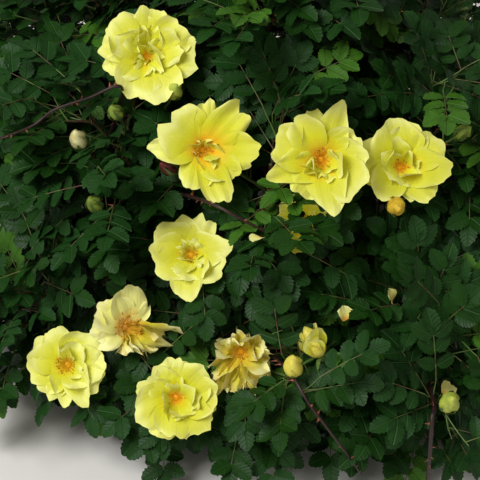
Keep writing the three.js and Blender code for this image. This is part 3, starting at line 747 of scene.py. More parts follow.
# Rose petal: soft, velvety skin over fine lengthwise veins. Golden at the base, lemon over the body and paler
# at the rim, which gives each bloom its glowing heart. A faint glow stands for the light that passes thin
# petals. Petals past their best turn brown in patches, as far as their wilted share says.
def petal_material(name, throat, body, rim, brown, wilted):
    material, node, place = start_material(name)
    petal = node("ShaderNodeUVMap", uv_map="petal")
    across, along, _ = node("ShaderNodeSeparateXYZ", {0: petal}).outputs
    grain = {"Scale": per_metre(5), "Detail": 4, "Roughness": 0.55}
    crumple = node("ShaderNodeTexNoise", {"Vector": place, **grain})
    drift = node("ShaderNodeTexNoise", {"Vector": place, "Scale": per_metre(80), "Detail": 0})
    spread = node("ShaderNodeMath", {0: drift, 1: 0.6, 2: -0.36}, operation="MULTIPLY_ADD")
    jitter = node("ShaderNodeMath", {0: crumple, 1: 0.16, 2: spread}, operation="MULTIPLY_ADD")
    aside = node("ShaderNodeMath", {0: across, 1: 2, 2: -1}, operation="MULTIPLY_ADD")
    edge = node("ShaderNodeMath", {0: aside, 1: 4}, operation="POWER")
    side = node("ShaderNodeMath", {0: edge, 1: 0.18}, operation="MULTIPLY")
    height = node("ShaderNodeMath", {0: along, 1: jitter}, operation="ADD")
    reach = node("ShaderNodeMath", {0: side, 1: along, 2: height}, operation="MULTIPLY_ADD")
    ramp = node("ShaderNodeValToRGB", {0: reach})
    golden, pale = mix_colours(throat, body, 0.6), mix_colours(body, rim, 0.3)
    stops = ((0.16, throat), (0.32, golden), (0.54, body), (0.84, pale), (1.0, rim))
    while len(ramp.color_ramp.elements) < len(stops):
        ramp.color_ramp.elements.new(0.5)
    for element, (element.position, rgb) in zip(ramp.color_ramp.elements, stops):
        element.color = opaque(rgb)
    shrivel = node("ShaderNodeMapRange", {0: crumple, 1: 0.45, 2: 0.7, 4: wilted})
    tint = node("ShaderNodeMix", {0: shrivel, 6: ramp, 7: opaque(brown)}, data_type="RGBA").outputs[2]
    strip = node("ShaderNodeMapping", {"Vector": petal, "Scale": (22, 1.5, 1)})
    veins = node("ShaderNodeTexNoise", {"Vector": strip, "Scale": 1, "Detail": 2}, noise_dimensions="2D")
    fold = node("ShaderNodeBump", {"Height": veins, "Strength": 0.32, "Distance": 0.0008})
    bump = node("ShaderNodeBump", {"Height": crumple, "Strength": 0.35, "Distance": 0.0009, "Normal": fold})
    glow = opaque(mix_colours(body, throat, 0.16))
    look = {"Base Color": tint, "Normal": bump, "Roughness": 0.62, "Specular IOR Level": 0.25}
    look |= {"Emission Color": glow, "Emission Strength": 0.12 * (1 - wilted), "Sheen Weight": 0.15}
    node("ShaderNodeOutputMaterial", {"Surface": node("ShaderNodeBsdfPrincipled", look)})
    return material


# Emulsion paint, rolled on: a matt, pale floor with the faintest drift in its tone
def floor_material(rgb):
    material, node, place = start_material("matt_floor_paint")
    drift = node("ShaderNodeTexNoise", {"Vector": place, "Scale": per_metre(40)})
    tones = {0: drift, 6: opaque(rgb, 0.97), 7: opaque(rgb)}
    tint = node("ShaderNodeMix", tones, data_type="RGBA").outputs[2]
    shader = node("ShaderNodeBsdfPrincipled", {"Base Color": tint, "Roughness": 0.9})
    node("ShaderNodeOutputMaterial", {"Surface": shader})
    return material


# Meshes


class MeshParts:
    """Grids and rings of points in millimetres, gathered into one mesh with its own surface coordinates."""

    def __init__(self):
        self.points = []
        self.places = []
        self.faces = []
        self.count = 0

    def add_grid(self, grid, closed=False, place=None):
        """Rows of points, joined into faces. A closed grid's rows are rings, with a cap at both ends.

        Surface coordinates run across and along the grid from 0 to 1, unless all of it takes one place.
        """
        rows, columns = grid.shape[:2]
        index = self.count + np.arange(rows * columns).reshape(rows, columns)
        joined = np.concatenate([index, index[:, :1]], axis=1) if closed else index
        quads = np.stack([joined[:-1, :-1], joined[:-1, 1:], joined[1:, 1:], joined[1:, :-1]], axis=-1)
        self.faces += quads.reshape(-1, 4).tolist()
        if closed:
            self.faces += [index[0, ::-1].tolist(), index[-1].tolist()]
        across, along = np.meshgrid(np.linspace(0, 1, columns), np.linspace(0, 1, rows))
        places = np.stack([across, along], axis=-1).reshape(-1, 2)
        self.points.append(grid.reshape(-1, 3))
        self.places.append(np.full_like(places, place) if place else places)
        self.count += rows * columns

    def mesh(self, name, layer):
        mesh = bpy.data.meshes.new(name)
        mesh.from_pydata((np.concatenate(self.points) * MM).tolist(), [], self.faces)
        corners = np.empty(len(mesh.loops), dtype=np.int32)
        mesh.loops.foreach_get("vertex_index", corners)
        places = np.concatenate(self.places)[corners]
        mesh.uv_layers.new(name=layer).data.foreach_set("uv", places.astype(np.float32).ravel())
        mesh.shade_smooth()
        return mesh


def ringed_mesh(name, rings, layer):
    """One closed mesh over rings of points."""
    parts = MeshParts()
    parts.add_grid(np.array(rings), closed=True)
    return parts.mesh(name, layer)


def show(name, mesh, material=None):
    piece = bpy.data.objects.new(name, mesh)
    bpy.context.scene.collection.objects.link(piece)
    if material:
        mesh.materials.clear()
        mesh.materials.append(material)
    return piece


def settle(piece, slot, *nodes):
    """The piece rides on the plant's one body and stands for the nodes named."""
    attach(piece, BODY)
    if nodes:
        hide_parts(*nodes)


def round_angles(sides):
    return np.arange(sides) * 2 * math.pi / sides


def rings_along(curve, stops, radii, sides):
    """Rings of points round a curve, carried along it without twist."""
    angles = round_angles(sides)
    start = curve.tangent(stops[0])
    side = np.cross(start, UP if abs(start[2]) < 0.9 else np.array([1.0, 0, 0]))
    rings = []
    for t, radius in zip(stops, radii):
        along = curve.tangent(t)
        side = unit(side - along * np.dot(side, along))
        across = np.cross(along, side)
        spokes = np.outer(np.cos(angles), side) + np.outer(np.sin(angles), across)
        rings.append(curve.at(t) + spokes * radius)
    return np.array(rings)


def rod_rings(rows, sides):
    """Rings round +X, one for each row of its place along, half width, half height and lift."""
    angles = round_angles(sides)
    rings = []
    for x, half_width, half_height, lift in rows:
        across, up = np.cos(angles) * half_width, np.sin(angles) * half_height + lift
        rings.append(np.stack([np.full(sides, x), across, up], axis=-1))
    return np.array(rings)


def lathe(profile, sides, wobble, seed):
    """Rings round +Z for a profile of radius and height, with a slight unevenness."""
    angles = round_angles(sides)
    rings = np.array([[(r * math.cos(a), r * math.sin(a), h) for a in angles] for r, h in profile])
    return rings * (1 + wobble * rough(rings, 4, seed))[..., None]


def rough(points, size, seed):
    """Smooth noise from -1 to 1 at each point, with lumps of the given size."""
    shift = Vector((seed * 7.31, seed * 3.17, seed * 1.93))
    flat = points.reshape(-1, 3)
    values = [noise.noise(Vector(point) / size + shift) for point in flat.tolist()]
    return np.array(values).reshape(points.shape[:-1])


def spun(grid, degrees):
    """Points turned clockwise about +Z."""
    turn = math.radians(degrees)
    cos, sin = math.cos(turn), math.sin(turn)
    return grid @ np.array([[cos, -sin, 0], [sin, cos, 0], [0, 0, 1]])


def leaning_line(angles, step):
    """How far out and how far up a line gets that leans from its axis by these angles, step by step."""
    return (np.concatenate([[0], np.cumsum(way(angles[:-1]) * step)]) for way in (np.sin, np.cos))


# Geometry node trees


def start_nodes(name, inputs):
    """A node tree for geometry, the way to add its nodes, and the outputs that give its named inputs."""
    tree = bpy.data.node_groups.new(name, "GeometryNodeTree")
    tree.interface.new_socket("Geometry", in_out="OUTPUT", socket_type="NodeSocketGeometry")
    for socket, kind in {"Geometry": "Geometry", **inputs, "Material": "Material"}.items():
        tree.interface.new_socket(socket, in_out="INPUT", socket_type=f"NodeSocket{kind}")
    node = functools.partial(add_node, tree)
    return tree, node, node("NodeGroupInput").outputs


def finish_nodes(node, geometry, material):
    whole = node("GeometryNodeRealizeInstances", {"Geometry": geometry})
    node("NodeGroupOutput", {0: node("GeometryNodeSetMaterial", {"Geometry": whole, "Material": material})})


def made_by_nodes(name, tree, values):
    """The plain mesh that a node tree makes from the given input values."""
    carrier = show(name, bpy.data.meshes.new(name))
    modifier = carrier.modifiers.new("Nodes", "NODES")
    modifier.node_group = tree
    for item in tree.interface.items_tree:
        if item.in_out == "INPUT" and item.name in values:
            modifier[item.identifier] = values[item.name]
    carrier.update_tag()
    bpy.context.view_layer.update()
    evaluated = carrier.evaluated_get(bpy.context.evaluated_depsgraph_get())
    mesh = bpy.data.meshes.new_from_object(evaluated)
    mesh.name = name
    carrier.modifiers.remove(modifier)
    carrier.data = mesh
    return carrier


@functools.lru_cache(maxsize=1)
def limb_nodes():
    """Round limbs along paths, as thick as the path's radius says."""
    tree, node, given = start_nodes("LimbsAlongPaths", {"Paths": "Object", "Sides": "Int"})
    paths = node("GeometryNodeObjectInfo", {"Object": given["Paths"]}).outputs["Geometry"]
    ring = node("GeometryNodeCurvePrimitiveCircle", {"Resolution": given["Sides"], "Radius": 1.0})
    radius = node("GeometryNodeInputRadius")
    shape = {"Curve": paths, "Profile Curve": ring, "Scale": radius, "Fill Caps": True}
    finish_nodes(node, node("GeometryNodeCurveToMesh", shape), given["Material"])
    return tree


@functools.lru_cache(maxsize=1)
def point_nodes():
    """Small things set on points, each with its form, turn and size."""
    tree, node, given = start_nodes("FormsOnPoints", {"Points": "Object", "Forms": "Collection"})
    points = node("GeometryNodeObjectInfo", {"Object": given["Points"]}).outputs["Geometry"]
    choice = {"Collection": given["Forms"], "Separate Children": True, "Reset Children": True}
    forms = node("GeometryNodeCollectionInfo", choice)
    form, turn, size = (
        node("GeometryNodeInputNamedAttribute", {"Name": name}, data_type=kind)
        for name, kind in (("form", "INT"), ("turn", "QUATERNION"), ("size", "FLOAT"))
    )
    copies = {"Points": points, "Instance": forms, "Pick Instance": True, "Instance Index": form}
    placed = node("GeometryNodeInstanceOnPoints", {**copies, "Rotation": turn, "Scale": size})
    finish_nodes(node, placed, given["Material"])
    return tree


@functools.lru_cache(maxsize=1)
def prickle_nodes():
    """Prickles along paths, at uneven distances and turned at random round the path."""
    inputs = {"Paths": "Object", "Prickle": "Object", "Spacing": "Float", "Share": "Float", "Seed": "Int"}
    tree, node, given = start_nodes("PricklesAlongPaths", inputs)
    seed = {"Seed": given["Seed"]}
    paths, prickle = (
        node("GeometryNodeObjectInfo", {"Object": given[form]}).outputs["Geometry"]
        for form in ("Paths", "Prickle")
    )
    points = node("GeometryNodeCurveToPoints", {"Curve": paths, "Length": given["Spacing"]}, mode="LENGTH")
    chance = node("FunctionNodeRandomValue", {"Probability": given["Share"], **seed}, data_type="BOOLEAN")
    angle = node("FunctionNodeRandomValue", {2: 0.0, 3: 2 * math.pi, **seed}, data_type="FLOAT")
    aside = node("FunctionNodeAxisAngleToRotation", {"Axis": (0, 0, 1), "Angle": angle.outputs[1]})
    turns = {"Rotation": points.outputs["Rotation"], "Rotate By": aside}
    turned = node("FunctionNodeRotateRotation", turns, rotation_space="LOCAL")
    size = node("FunctionNodeRandomValue", {2: 0.7, 3: 1.15, **seed}, data_type="FLOAT")
    copies = {"Points": points, "Selection": chance.outputs[3], "Instance": prickle}
    placed = node("GeometryNodeInstanceOnPoints", {**copies, "Rotation": turned, "Scale": size.outputs[1]})
    finish_nodes(node, placed, given["Material"])
    return tree


def limbs_mesh(name, paths, sides, material):
    """The piece that the limb tree makes along the given paths."""
    lines = path_object(f"{name}_paths", paths)
    piece = made_by_nodes(name, limb_nodes(), {"Paths": lines, "Sides": sides, "Material": material})
    piece.data.shade_smooth()
    discard(lines)
    return piece


def path_object(name, paths):
    """A curve object with one line of points for each path, given as points and radii in millimetres."""
    curves = bpy.data.curves.new(name, "CURVE")
    curves.dimensions = "3D"
    for points, radii in paths:
        spline = curves.splines.new("POLY")
        spline.points.add(len(points) - 1)
        flat = np.concatenate([points * MM, np.ones((len(points), 1))], axis=1)
        spline.points.foreach_set("co", flat.astype(np.float32).ravel())
        spline.points.foreach_set("radius", (np.asarray(radii) * MM).astype(np.float32))
    return show(name, curves)


def point_object(name, places, turns, sizes, forms):
    """A mesh of loose points with a turn, a size in metres and a form for each."""
    mesh = bpy.data.meshes.new(name)
    mesh.from_pydata((np.array(places) * MM).tolist(), [], [])
    for fact, kind, values in (
        ("turn", "QUATERNION", np.array(turns, dtype=np.float32)),
        ("size", "FLOAT", np.array(sizes, dtype=np.float32)),
        ("form", "INT", np.array(forms, dtype=np.int32)),
    ):
        mesh.attributes.new(fact, kind, "POINT").data.foreach_set("value", values.ravel())
    return show(name, mesh)


def form_collection(name, meshes):
    collection = bpy.data.collections.new(name)
    for i, mesh in enumerate(meshes):
        collection.objects.link(bpy.data.objects.new(f"{name}_{i}", mesh))
    return collection


def discard(*helpers):
    for helper in helpers:
        if isinstance(helper, bpy.types.Collection):
            discard(*helper.objects)
            bpy.data.collections.remove(helper)
        else:
            bpy.data.objects.remove(helper)


def turn_of(along, normal):
    """The turn that takes +X along and +Z to the normal, as w, x, y, z."""
    along = Vector(along).normalized()
    normal = Vector(normal)
    normal = (normal - along * normal.dot(along)).normalized()
    across = normal.cross(along)
    return tuple(Matrix((along, across, normal)).transposed().to_quaternion())


# Rootstock, canes and twigs

ROOTSTOCK_PROFILE = ((0, 19), (5, 15.5), (14, 12.5), (24, 13.5), (33, 15), (40, 12.5), (44, 6), (45, 0.4))
ROOTSTOCK_LEAN, ROOTSTOCK_ROWS, ROOTSTOCK_SIDES = 0.06, 46, 72
CANE_SIDES, CANE_KNOTS = 14, 26

# How thick each kind of twig is at its start and its end
TWIG_GIRTH = {"bloom": (1.15, 0.95), "leafy": (1.0, 0.5), "fine": (0.6, 0.4)}

# Bare canes that the picture shows in front of the leaves. Each leaves the stem of a mass, given by its
# number, at a share of its length, tapers between two radii in mm, and runs through points given by their
# pixels and their height above the ground.
BARE_CANES = (
    (14, 0.3, (1.3, 0.7), ((205, 201, 207), (262, 230, 194), (322, 258, 152), (344, 270, 126))),
    (14, 0.8, (1.2, 0.8), ((122, 88, 256), (88, 98, 252), (54, 110, 246), (30, 127, 238), (-12, 143, 212))),
    (1, 0.1, (1.3, 0.8), ((284, 366, 112), (310, 405, 108), (341, 446, 74), (361, 474, 40))),
    (2, 0.9, (1.7, 1.4), ((433, 398, 94), (432, 420, 95), (430, 452, 66), (427, 488, 16))),
)


def rootstock_mesh(relief):
    """The knobbly stump: the source's profile with root flare, knots and cracks."""
    heights, radii = np.array(ROOTSTOCK_PROFILE, dtype=float).T
    level = (np.linspace(0, 1, ROOTSTOCK_ROWS) ** 0.9 * heights[-1])[:, None]
    angles = round_angles(ROOTSTOCK_SIDES)
    radius = np.interp(level, heights, radii)
    flare = 1 + 0.1 * np.exp(-level / 7) * np.cos(5 * angles + 0.6)
    x = np.cos(angles) * radius * flare + ROOTSTOCK_LEAN * level
    grid = np.stack([x, np.sin(angles) * radius * flare, level + 0 * x], axis=-1)
    lumps = rough(grid, 9, 1) * 1.3
    cracks = 1 - np.abs(rough(grid * [1, 1, 0.35], 2.6, 2)) * 2
    push = lumps - np.clip(cracks, 0, 1) ** 3 * relief / MM
    fade = np.minimum(1, grid[:, :, 2] / 1.5)
    outwards = grid * [1, 1, 0] / np.maximum(np.linalg.norm(grid[:, :, :2], axis=2), 0.1)[..., None]
    return ringed_mesh("rootstock_bark", grid + outwards * (push * fade)[..., None], "bark")


def cane_mesh(name, mass):
    """One tapering cane with shallow ribs, swollen where leaves have stood."""
    curve, number = mass["cane"], mass["number"]
    stops = np.linspace(0, 1, max(24, int(curve.length() / 1.6)))
    radii = mix(mass["tier"]["cane_base"], CANE_TIP, stops)
    knots = np.abs(np.sin(stops * math.pi * curve.length() / CANE_KNOTS + number)) ** 24
    rings = rings_along(curve, stops, radii * (1 + 0.16 * knots), CANE_SIDES)
    relief = rough(rings * [1, 1, 0.5], 2.2, number) * 0.09 + rough(rings, 7, 3) * 0.07
    middle = curve.at(stops)[:, None]
    return ringed_mesh(name, middle + (rings - middle) * (1 + relief)[..., None], "bark")


def prickle_mesh(reach):
    """A slender prickle that points along +X from the middle of its cane, broad where it leaves the bark."""
    stops = ((0.0, 0.5, 1.4), (0.32, 0.42, 1.1), (0.5, 0.3, 0.55), (0.75, 0.18, 0.28), (1.0, 0.03, 0.03))
    rows = [(reach * x, across, along, -0.9 * x) for x, across, along in stops]
    return ringed_mesh("prickle", rod_rings(rows, 5), "bark")


def stem_path(mass):
    """The mass's stem as a path that starts a little inside its cane."""
    stem, stops = mass["stem"], np.linspace(0, 1, 16)
    points = np.concatenate([[stem.at(0) - stem.tangent(0) * 2], stem.at(stops)])
    return points, np.concatenate([[CANE_TIP * 0.95], mix(CANE_TIP, STEM_TIP * 0.7, stops)])


def twig_paths(bush, grades):
    stops = np.linspace(0, 1, 9)
    for mass in bush.masses:
        for shoot in mass["shoots"]:
            if shoot["grade"] in grades:
                yield shoot["twig"].at(stops), mix(*TWIG_GIRTH[shoot["grade"]], stops)


def smooth_line(points, steps):
    """An even line that runs through every point."""
    points = np.array(points)
    before = np.concatenate([points[:1] * 2 - points[1:2], points, points[-1:] * 2 - points[-2:-1]])
    line = []
    for a, b, c, d in zip(before, before[1:], before[2:], before[3:]):
        for t in np.arange(steps) / steps:
            square, cube = (2 * a - 5 * b + 4 * c - d) * t**2, (3 * b - a - 3 * c + d) * t**3
            line.append(b + (c - a) * t / 2 + square / 2 + cube / 2)
    return np.array([*line, points[-1]])


def bare_cane_paths(bush):
    for number, leaves_at, radii, through in BARE_CANES:
        start = bush.masses[number - 1]["stem"].at(leaves_at)
        line = smooth_line([start, *(seen_at(*spot) for spot in through)], 10)
        yield line, mix(*radii, np.linspace(0, 1, len(line)))


# Leaves

LEAFLET_FORMS = (
    {"fold": 0.1, "droop": 0.1, "twist": 0.03},
    {"fold": 0.22, "droop": 0.16, "twist": -0.06},
    {"fold": 0.05, "droop": 0.22, "twist": 0.08},
    {"fold": 0.16, "droop": 0.03, "twist": -0.02},
)
TEETH, LEAFLET_WIDTH, MIDRIB_POINTS, LEAFLET_WAVE = 7, 0.345, 5, 0.014
# Leaves longer than these have three and four pairs of leaflets. From the first pair to the last: where they
# stand along the stalk, how far they splay, and their size as a share of the end leaflet's. Then the radii of
# the stalk.
THREE_PAIRS, FOUR_PAIRS = 43, 55
PAIRS_AT, PAIR_SPLAY, PAIR_SIZE, STALK_GIRTH = (0.3, 0.93), (72, 54), (0.74, 0.97), (0.55, 0.3)

# Leaf colours are dealt out by spray: most are deep or blue green, and some are young
LEAF_SHADES = ("deep", "blue", "young")
YOUNG_SHARE = {"fine": 0.12, "leafy": 0.04, "bloom": 0.04}
DEEP_SHARE = 0.55


def leaflet_outline():
    """One side of a leaflet between base and tip, with its teeth: shares of the length along and across."""
    outline = []
    for tooth in range(TEETH):
        for share, depth in ((0.82, 1.03), (1.0, 0.83)):
            along = (tooth + share) / TEETH
            oval = (1 - abs(2 * min(along, 0.99) ** 0.92 - 1) ** 2.3) ** 0.6
            outline.append((along, LEAFLET_WIDTH * oval * depth))
    return outline[:-1]


def leaflet_mesh(name, form):
    """A serrated leaflet 1 m long along +X, folded up along its midrib."""
    half = leaflet_outline()
    midrib = [(i / (MIDRIB_POINTS - 1), 0.0) for i in range(1, MIDRIB_POINTS - 1)]
    flat = [*midrib, *half, *((along, -across) for along, across in half), (0.0, 0.0), (1.0, 0.0)]
    base, tip = len(flat) - 2, len(flat) - 1
    rib = [base, *range(len(midrib)), tip]
    faces = []
    for sign, first in ((1, len(midrib)), (-1, len(midrib) + len(half))):
        outer = [base, *range(first, first + len(half)), tip]
        i = j = 0
        while i < len(outer) - 1 or j < len(rib) - 1:
            outer_next = flat[outer[i + 1]][0] if i < len(outer) - 1 else math.inf
            rib_next = flat[rib[j + 1]][0] if j < len(rib) - 1 else math.inf
            if outer_next <= rib_next:
                face = [rib[j], outer[i + 1], outer[i]]
                i += 1
            else:
                face = [rib[j], rib[j + 1], outer[i]]
                j += 1
            if len(set(face)) == 3:
                faces.append(face[::sign])
    points = []
    for along, across in flat:
        lift = form["fold"] * abs(across) * 2 - form["droop"] * along**2 + form["twist"] * across * along * 6
        lift += LEAFLET_WAVE * math.sin(along * 6 * math.pi) * abs(across) / 0.3
        points.append((along, across, lift))
    mesh = bpy.data.meshes.new(name)
    mesh.from_pydata(points, [], faces)
    layer = mesh.uv_layers.new(name="blade")
    for loop in mesh.loops:
        along, across = flat[loop.vertex_index]
        layer.data[loop.index].uv = (along, across / LEAFLET_WIDTH)
    mesh.shade_smooth()
    return mesh


def compound_leaf(leaf, longest, draw):
    """The leaflets and the stalk of one leaf: pairs along the stalk and one leaflet at its end."""
    length, along, across, normal = (leaf[fact] for fact in ("length", "along", "across", "normal"))
    size = longest / MM * mix(0.7, 1.0, length / LEAF_LENGTH[1])
    pairs = 2 + (length > THREE_PAIRS) + (length > FOUR_PAIRS)
    stalk_length = length - size * 0.92
    droop = 0.1 * length

    def on_stalk(share):
        return leaf["root"] + along * stalk_length * share - normal * droop * share**2 * 0.5

    stops = np.linspace(0, 1, 6)
    stalk = (np.array([on_stalk(s) for s in stops]), mix(*STALK_GIRTH, stops))
    leaflets = []
    for pair in range(pairs):
        share = mix(*PAIRS_AT, pair / (pairs - 1))
        heading = along - normal * 0.1 * share
        for sign in (1, -1):
            splay = sign * (mix(*PAIR_SPLAY, share) + (draw() - 0.5) * SPLAY_SWAY)
            way = turned_about(heading, normal, splay)
            tilt = turned_about(normal, unit(way), sign * (draw() * 26 - 4) + (draw() - 0.5) * 18)
            way = unit(way + normal * (0.1 + (draw() - 0.5) * 0.3))
            leaflet_size = size * mix(*PAIR_SIZE, share) * (0.94 + draw() * 0.12)
            leaflets.append((on_stalk(share) + way * 0.6, turn_of(way, tilt), leaflet_size, any_form(draw)))
    way = unit(along - normal * (0.16 + draw() * 0.15) + across * (draw() - 0.5) * 0.2)
    leaflets.append((on_stalk(1), turn_of(way, normal), size, any_form(draw)))
    return leaflets, stalk


def any_form(draw):
    return int(draw() * len(LEAFLET_FORMS)) % len(LEAFLET_FORMS)


def shade_of(shoot, draw):
    pick = draw()
    return "young" if pick < YOUNG_SHARE[shoot["grade"]] else "deep" if pick < DEEP_SHARE else "blue"


# Petals

# How finely a petal is drawn, how far from the heart and how upright it starts, how narrow its base is and
# how far along it is widest
PETAL_ROWS, PETAL_COLUMNS, PETAL_SEAT, PETAL_START, PETAL_BASE, PETAL_WIDEST = 13, 13, 1.6, 18, 0.14, 0.72
# Nicks in its rim and crumples in its skin, from coarse to fine: depth and number, size in mm and share
PETAL_NICKS = ((0.04, 4), (0.016, 9), (0.006, 19))
PETAL_CRUMPLES = ((9, 1.0), (4, 0.4))
FULL_TURN = 6.28
TIP_SHAPES = {
    "round": {"round": 0.29},
    "point": {"round": 0.44, "point": 0.07},
    "square": {"round": 0.15},
    "notch": {"round": 0.22, "notch": 0.1},
}

# Petals of the front blooms, in the order of FRONT_BLOOMS. Each has its turn clockwise from the top of the
# face in degrees, its length and width in shares of the bloom's radius, how far it opens from the bloom's
# axis, and its tip.
FRONT_PETALS = (
    (
        (167, 1.18, 0.98, 84, "square"), (206, 1.04, 0.96, 83, "square"), (252, 1.0, 0.8, 82, "round"),
        (290, 1.05, 0.75, 84, "square"), (325, 1.08, 1.15, 76, "round"), (12, 1.08, 0.8, 80, "round"),
        (62, 1.04, 0.85, 78, "square"), (102, 1.1, 0.95, 80, "square"), (205, 0.6, 0.42, 68, "round"),
        (282, 0.86, 0.8, 62, "round"), (84, 0.86, 0.74, 60, "square"), (20, 0.7, 0.6, 54, "round"),
        (318, 0.72, 0.6, 56, "notch"), (350, 0.72, 0.3, 50, "notch"), (150, 0.66, 0.3, 54, "notch"),
        (50, 0.56, 0.32, 44, "notch"), (228, 0.5, 0.3, 42, "notch"), (118, 0.5, 0.32, 40, "round"),
        (290, 0.46, 0.3, 38, "notch"), (0, 0.36, 0.3, 28, "notch"), (170, 0.34, 0.3, 24, "notch"),
        (80, 0.3, 0.28, 22, "round"),
    ),
    (
        (10, 1.02, 0.46, 82, "square"), (48, 1.22, 0.72, 80, "notch"), (97, 1.16, 0.74, 80, "square"),
        (134, 0.92, 0.8, 78, "round"), (164, 1.24, 0.6, 84, "square"), (198, 0.86, 0.68, 82, "square"),
        (272, 1.12, 0.6, 84, "round"), (310, 1.04, 1.1, 74, "notch"), (340, 0.8, 0.5, 84, "square"),
        (120, 0.5, 0.36, 48, "notch"), (162, 0.58, 0.42, 56, "notch"), (70, 0.4, 0.3, 40, "round"),
        (285, 0.38, 0.3, 44, "notch"),
    ),
    (
        (300, 1.08, 1.1, 80, "round"), (340, 0.98, 0.9, 82, "round"), (20, 1.08, 0.72, 82, "notch"),
        (74, 1.12, 0.95, 80, "point"), (116, 0.98, 0.9, 80, "square"), (178, 1.22, 0.85, 86, "round"),
        (232, 0.98, 0.95, 80, "round"), (268, 1.04, 0.95, 80, "round"), (165, 0.82, 0.9, 64, "notch"),
        (215, 0.7, 0.7, 58, "notch"), (120, 0.56, 0.5, 52, "notch"), (0, 0.48, 0.5, 44, "notch"),
        (60, 0.5, 0.45, 46, "round"), (300, 0.5, 0.5, 44, "notch"), (250, 0.4, 0.35, 36, "notch"),
    ),
    (
        (22, 1.22, 0.78, 78, "point"), (352, 1.06, 0.72, 80, "point"), (328, 1.12, 0.72, 70, "square"),
        (296, 1.14, 1.0, 82, "square"), (257, 1.2, 0.8, 82, "point"), (215, 0.98, 0.85, 84, "round"),
        (174, 1.22, 0.88, 84, "point"), (138, 1.1, 0.95, 80, "square"), (98, 1.0, 0.9, 78, "round"),
        (62, 0.95, 0.8, 76, "notch"), (270, 0.66, 0.44, 60, "round"), (236, 0.62, 0.34, 54, "round"),
        (150, 0.66, 0.62, 52, "notch"), (190, 0.56, 0.46, 50, "notch"), (112, 0.5, 0.5, 44, "notch"),
    ),
    (
        (350, 1.14, 1.25, 76, "round"), (20, 1.06, 0.9, 80, "square"), (66, 1.16, 0.85, 82, "square"),
        (104, 1.24, 0.9, 80, "point"), (142, 1.1, 0.78, 84, "round"), (166, 0.84, 0.6, 82, "round"),
        (228, 1.1, 0.86, 78, "round"), (266, 1.12, 0.9, 80, "round"), (302, 1.08, 0.8, 84, "square"),
        (330, 0.72, 0.8, 50, "notch"), (248, 0.6, 0.8, 44, "notch"), (106, 0.58, 0.6, 52, "notch"),
        (185, 0.62, 0.62, 58, "notch"), (30, 0.5, 0.5, 38, "notch"),
    ),
    (
        (20, 1.0, 0.95, 80, "round"), (80, 1.0, 0.95, 82, "notch"), (140, 1.05, 0.95, 84, "round"),
        (200, 1.0, 0.95, 82, "square"), (260, 1.0, 0.95, 80, "round"), (320, 1.0, 0.95, 80, "notch"),
        (50, 0.6, 0.6, 52, "notch"), (190, 0.6, 0.6, 54, "notch"),
    ),
    (
        (18, 1.12, 1.0, 80, "square"), (344, 1.02, 0.85, 76, "notch"), (316, 1.06, 0.75, 82, "square"),
        (284, 1.0, 0.8, 88, "round"), (262, 0.95, 0.62, 90, "notch"), (62, 0.85, 0.46, 72, "notch"),
    ),
    (
        (300, 1.02, 1.0, 82, "round"), (336, 1.04, 0.82, 80, "round"), (42, 1.06, 1.05, 80, "round"),
        (84, 1.06, 1.0, 80, "round"), (118, 1.02, 0.82, 84, "square"), (148, 1.14, 0.62, 86, "round"),
        (178, 1.0, 0.72, 86, "point"), (202, 0.92, 0.78, 84, "point"), (236, 0.98, 0.95, 82, "round"),
        (268, 1.0, 1.0, 82, "square"), (28, 0.76, 0.62, 60, "round"), (352, 0.66, 0.44, 54, "round"),
        (132, 0.82, 0.72, 64, "round"), (100, 0.62, 0.52, 54, "notch"),
    ),
    (
        (348, 0.98, 0.72, 80, "round"), (10, 0.98, 0.58, 78, "notch"), (44, 1.02, 1.05, 78, "round"),
        (84, 1.04, 1.0, 80, "round"), (114, 1.0, 0.82, 82, "notch"), (140, 1.06, 0.9, 82, "square"),
        (182, 1.0, 0.92, 78, "notch"), (206, 1.04, 0.72, 86, "square"), (244, 1.06, 1.1, 80, "round"),
        (284, 0.98, 0.72, 84, "point"), (318, 0.92, 0.78, 72, "round"), (30, 0.6, 0.8, 46, "notch"),
        (100, 0.7, 0.7, 54, "round"), (134, 0.62, 0.6, 52, "notch"), (214, 0.56, 0.6, 46, "notch"),
        (318, 0.5, 0.5, 42, "notch"), (180, 0.62, 0.55, 58, "notch"),
    ),
    (
        
    ),
)

# Shrivelled petals that hang from the two front blooms past their best, as the petals above
WITHERED_PETALS = {
    6: (
        (128, 1.15, 0.62, 96, "square"), (150, 1.0, 0.5, 92, "notch"), (178, 0.78, 0.24, 84, "round"),
        (204, 0.74, 0.44, 74, "notch"),
    ),
    9: (
        (192, 1.45, 0.62, 94, "notch"), (214, 1.6, 0.5, 104, "square"), (238, 1.2, 0.55, 96, "round"),
        (166, 1.35, 0.55, 100, "notch"), (138, 1.15, 0.8, 84, "square"), (104, 1.1, 0.8, 76, "notch"),
        (62, 1.0, 0.8, 58, "square"), (24, 0.8, 0.9, 54, "notch"), (336, 0.75, 0.8, 62, "notch"),
        (290, 0.85, 0.6, 84, "notch"),
    ),
}
SHRIVELLED = {"crumple": 4.4, "ruffle": 0.26, "pleat": 0.11, "cup": 0.8}

# The front bud that is half open, in the order of FRONT_BUDS, and its petals furled round one another
HALF_OPEN_BUD, HALF_OPEN_DEPTH = 6, 0.95
FURLED_PETALS = (
    (10, 2.8, 2.3, 6, "round"), (82, 2.4, 2.3, 10, "notch"), (154, 2.6, 2.3, 5, "round"),
    (226, 2.3, 2.3, 12, "notch"), (298, 2.7, 2.3, 7, "round"),
)
FURLED = {"ruffle": 0.08, "tuck": 0.1, "curl": 24, "cup": 0.3, "crumple": 0.6}

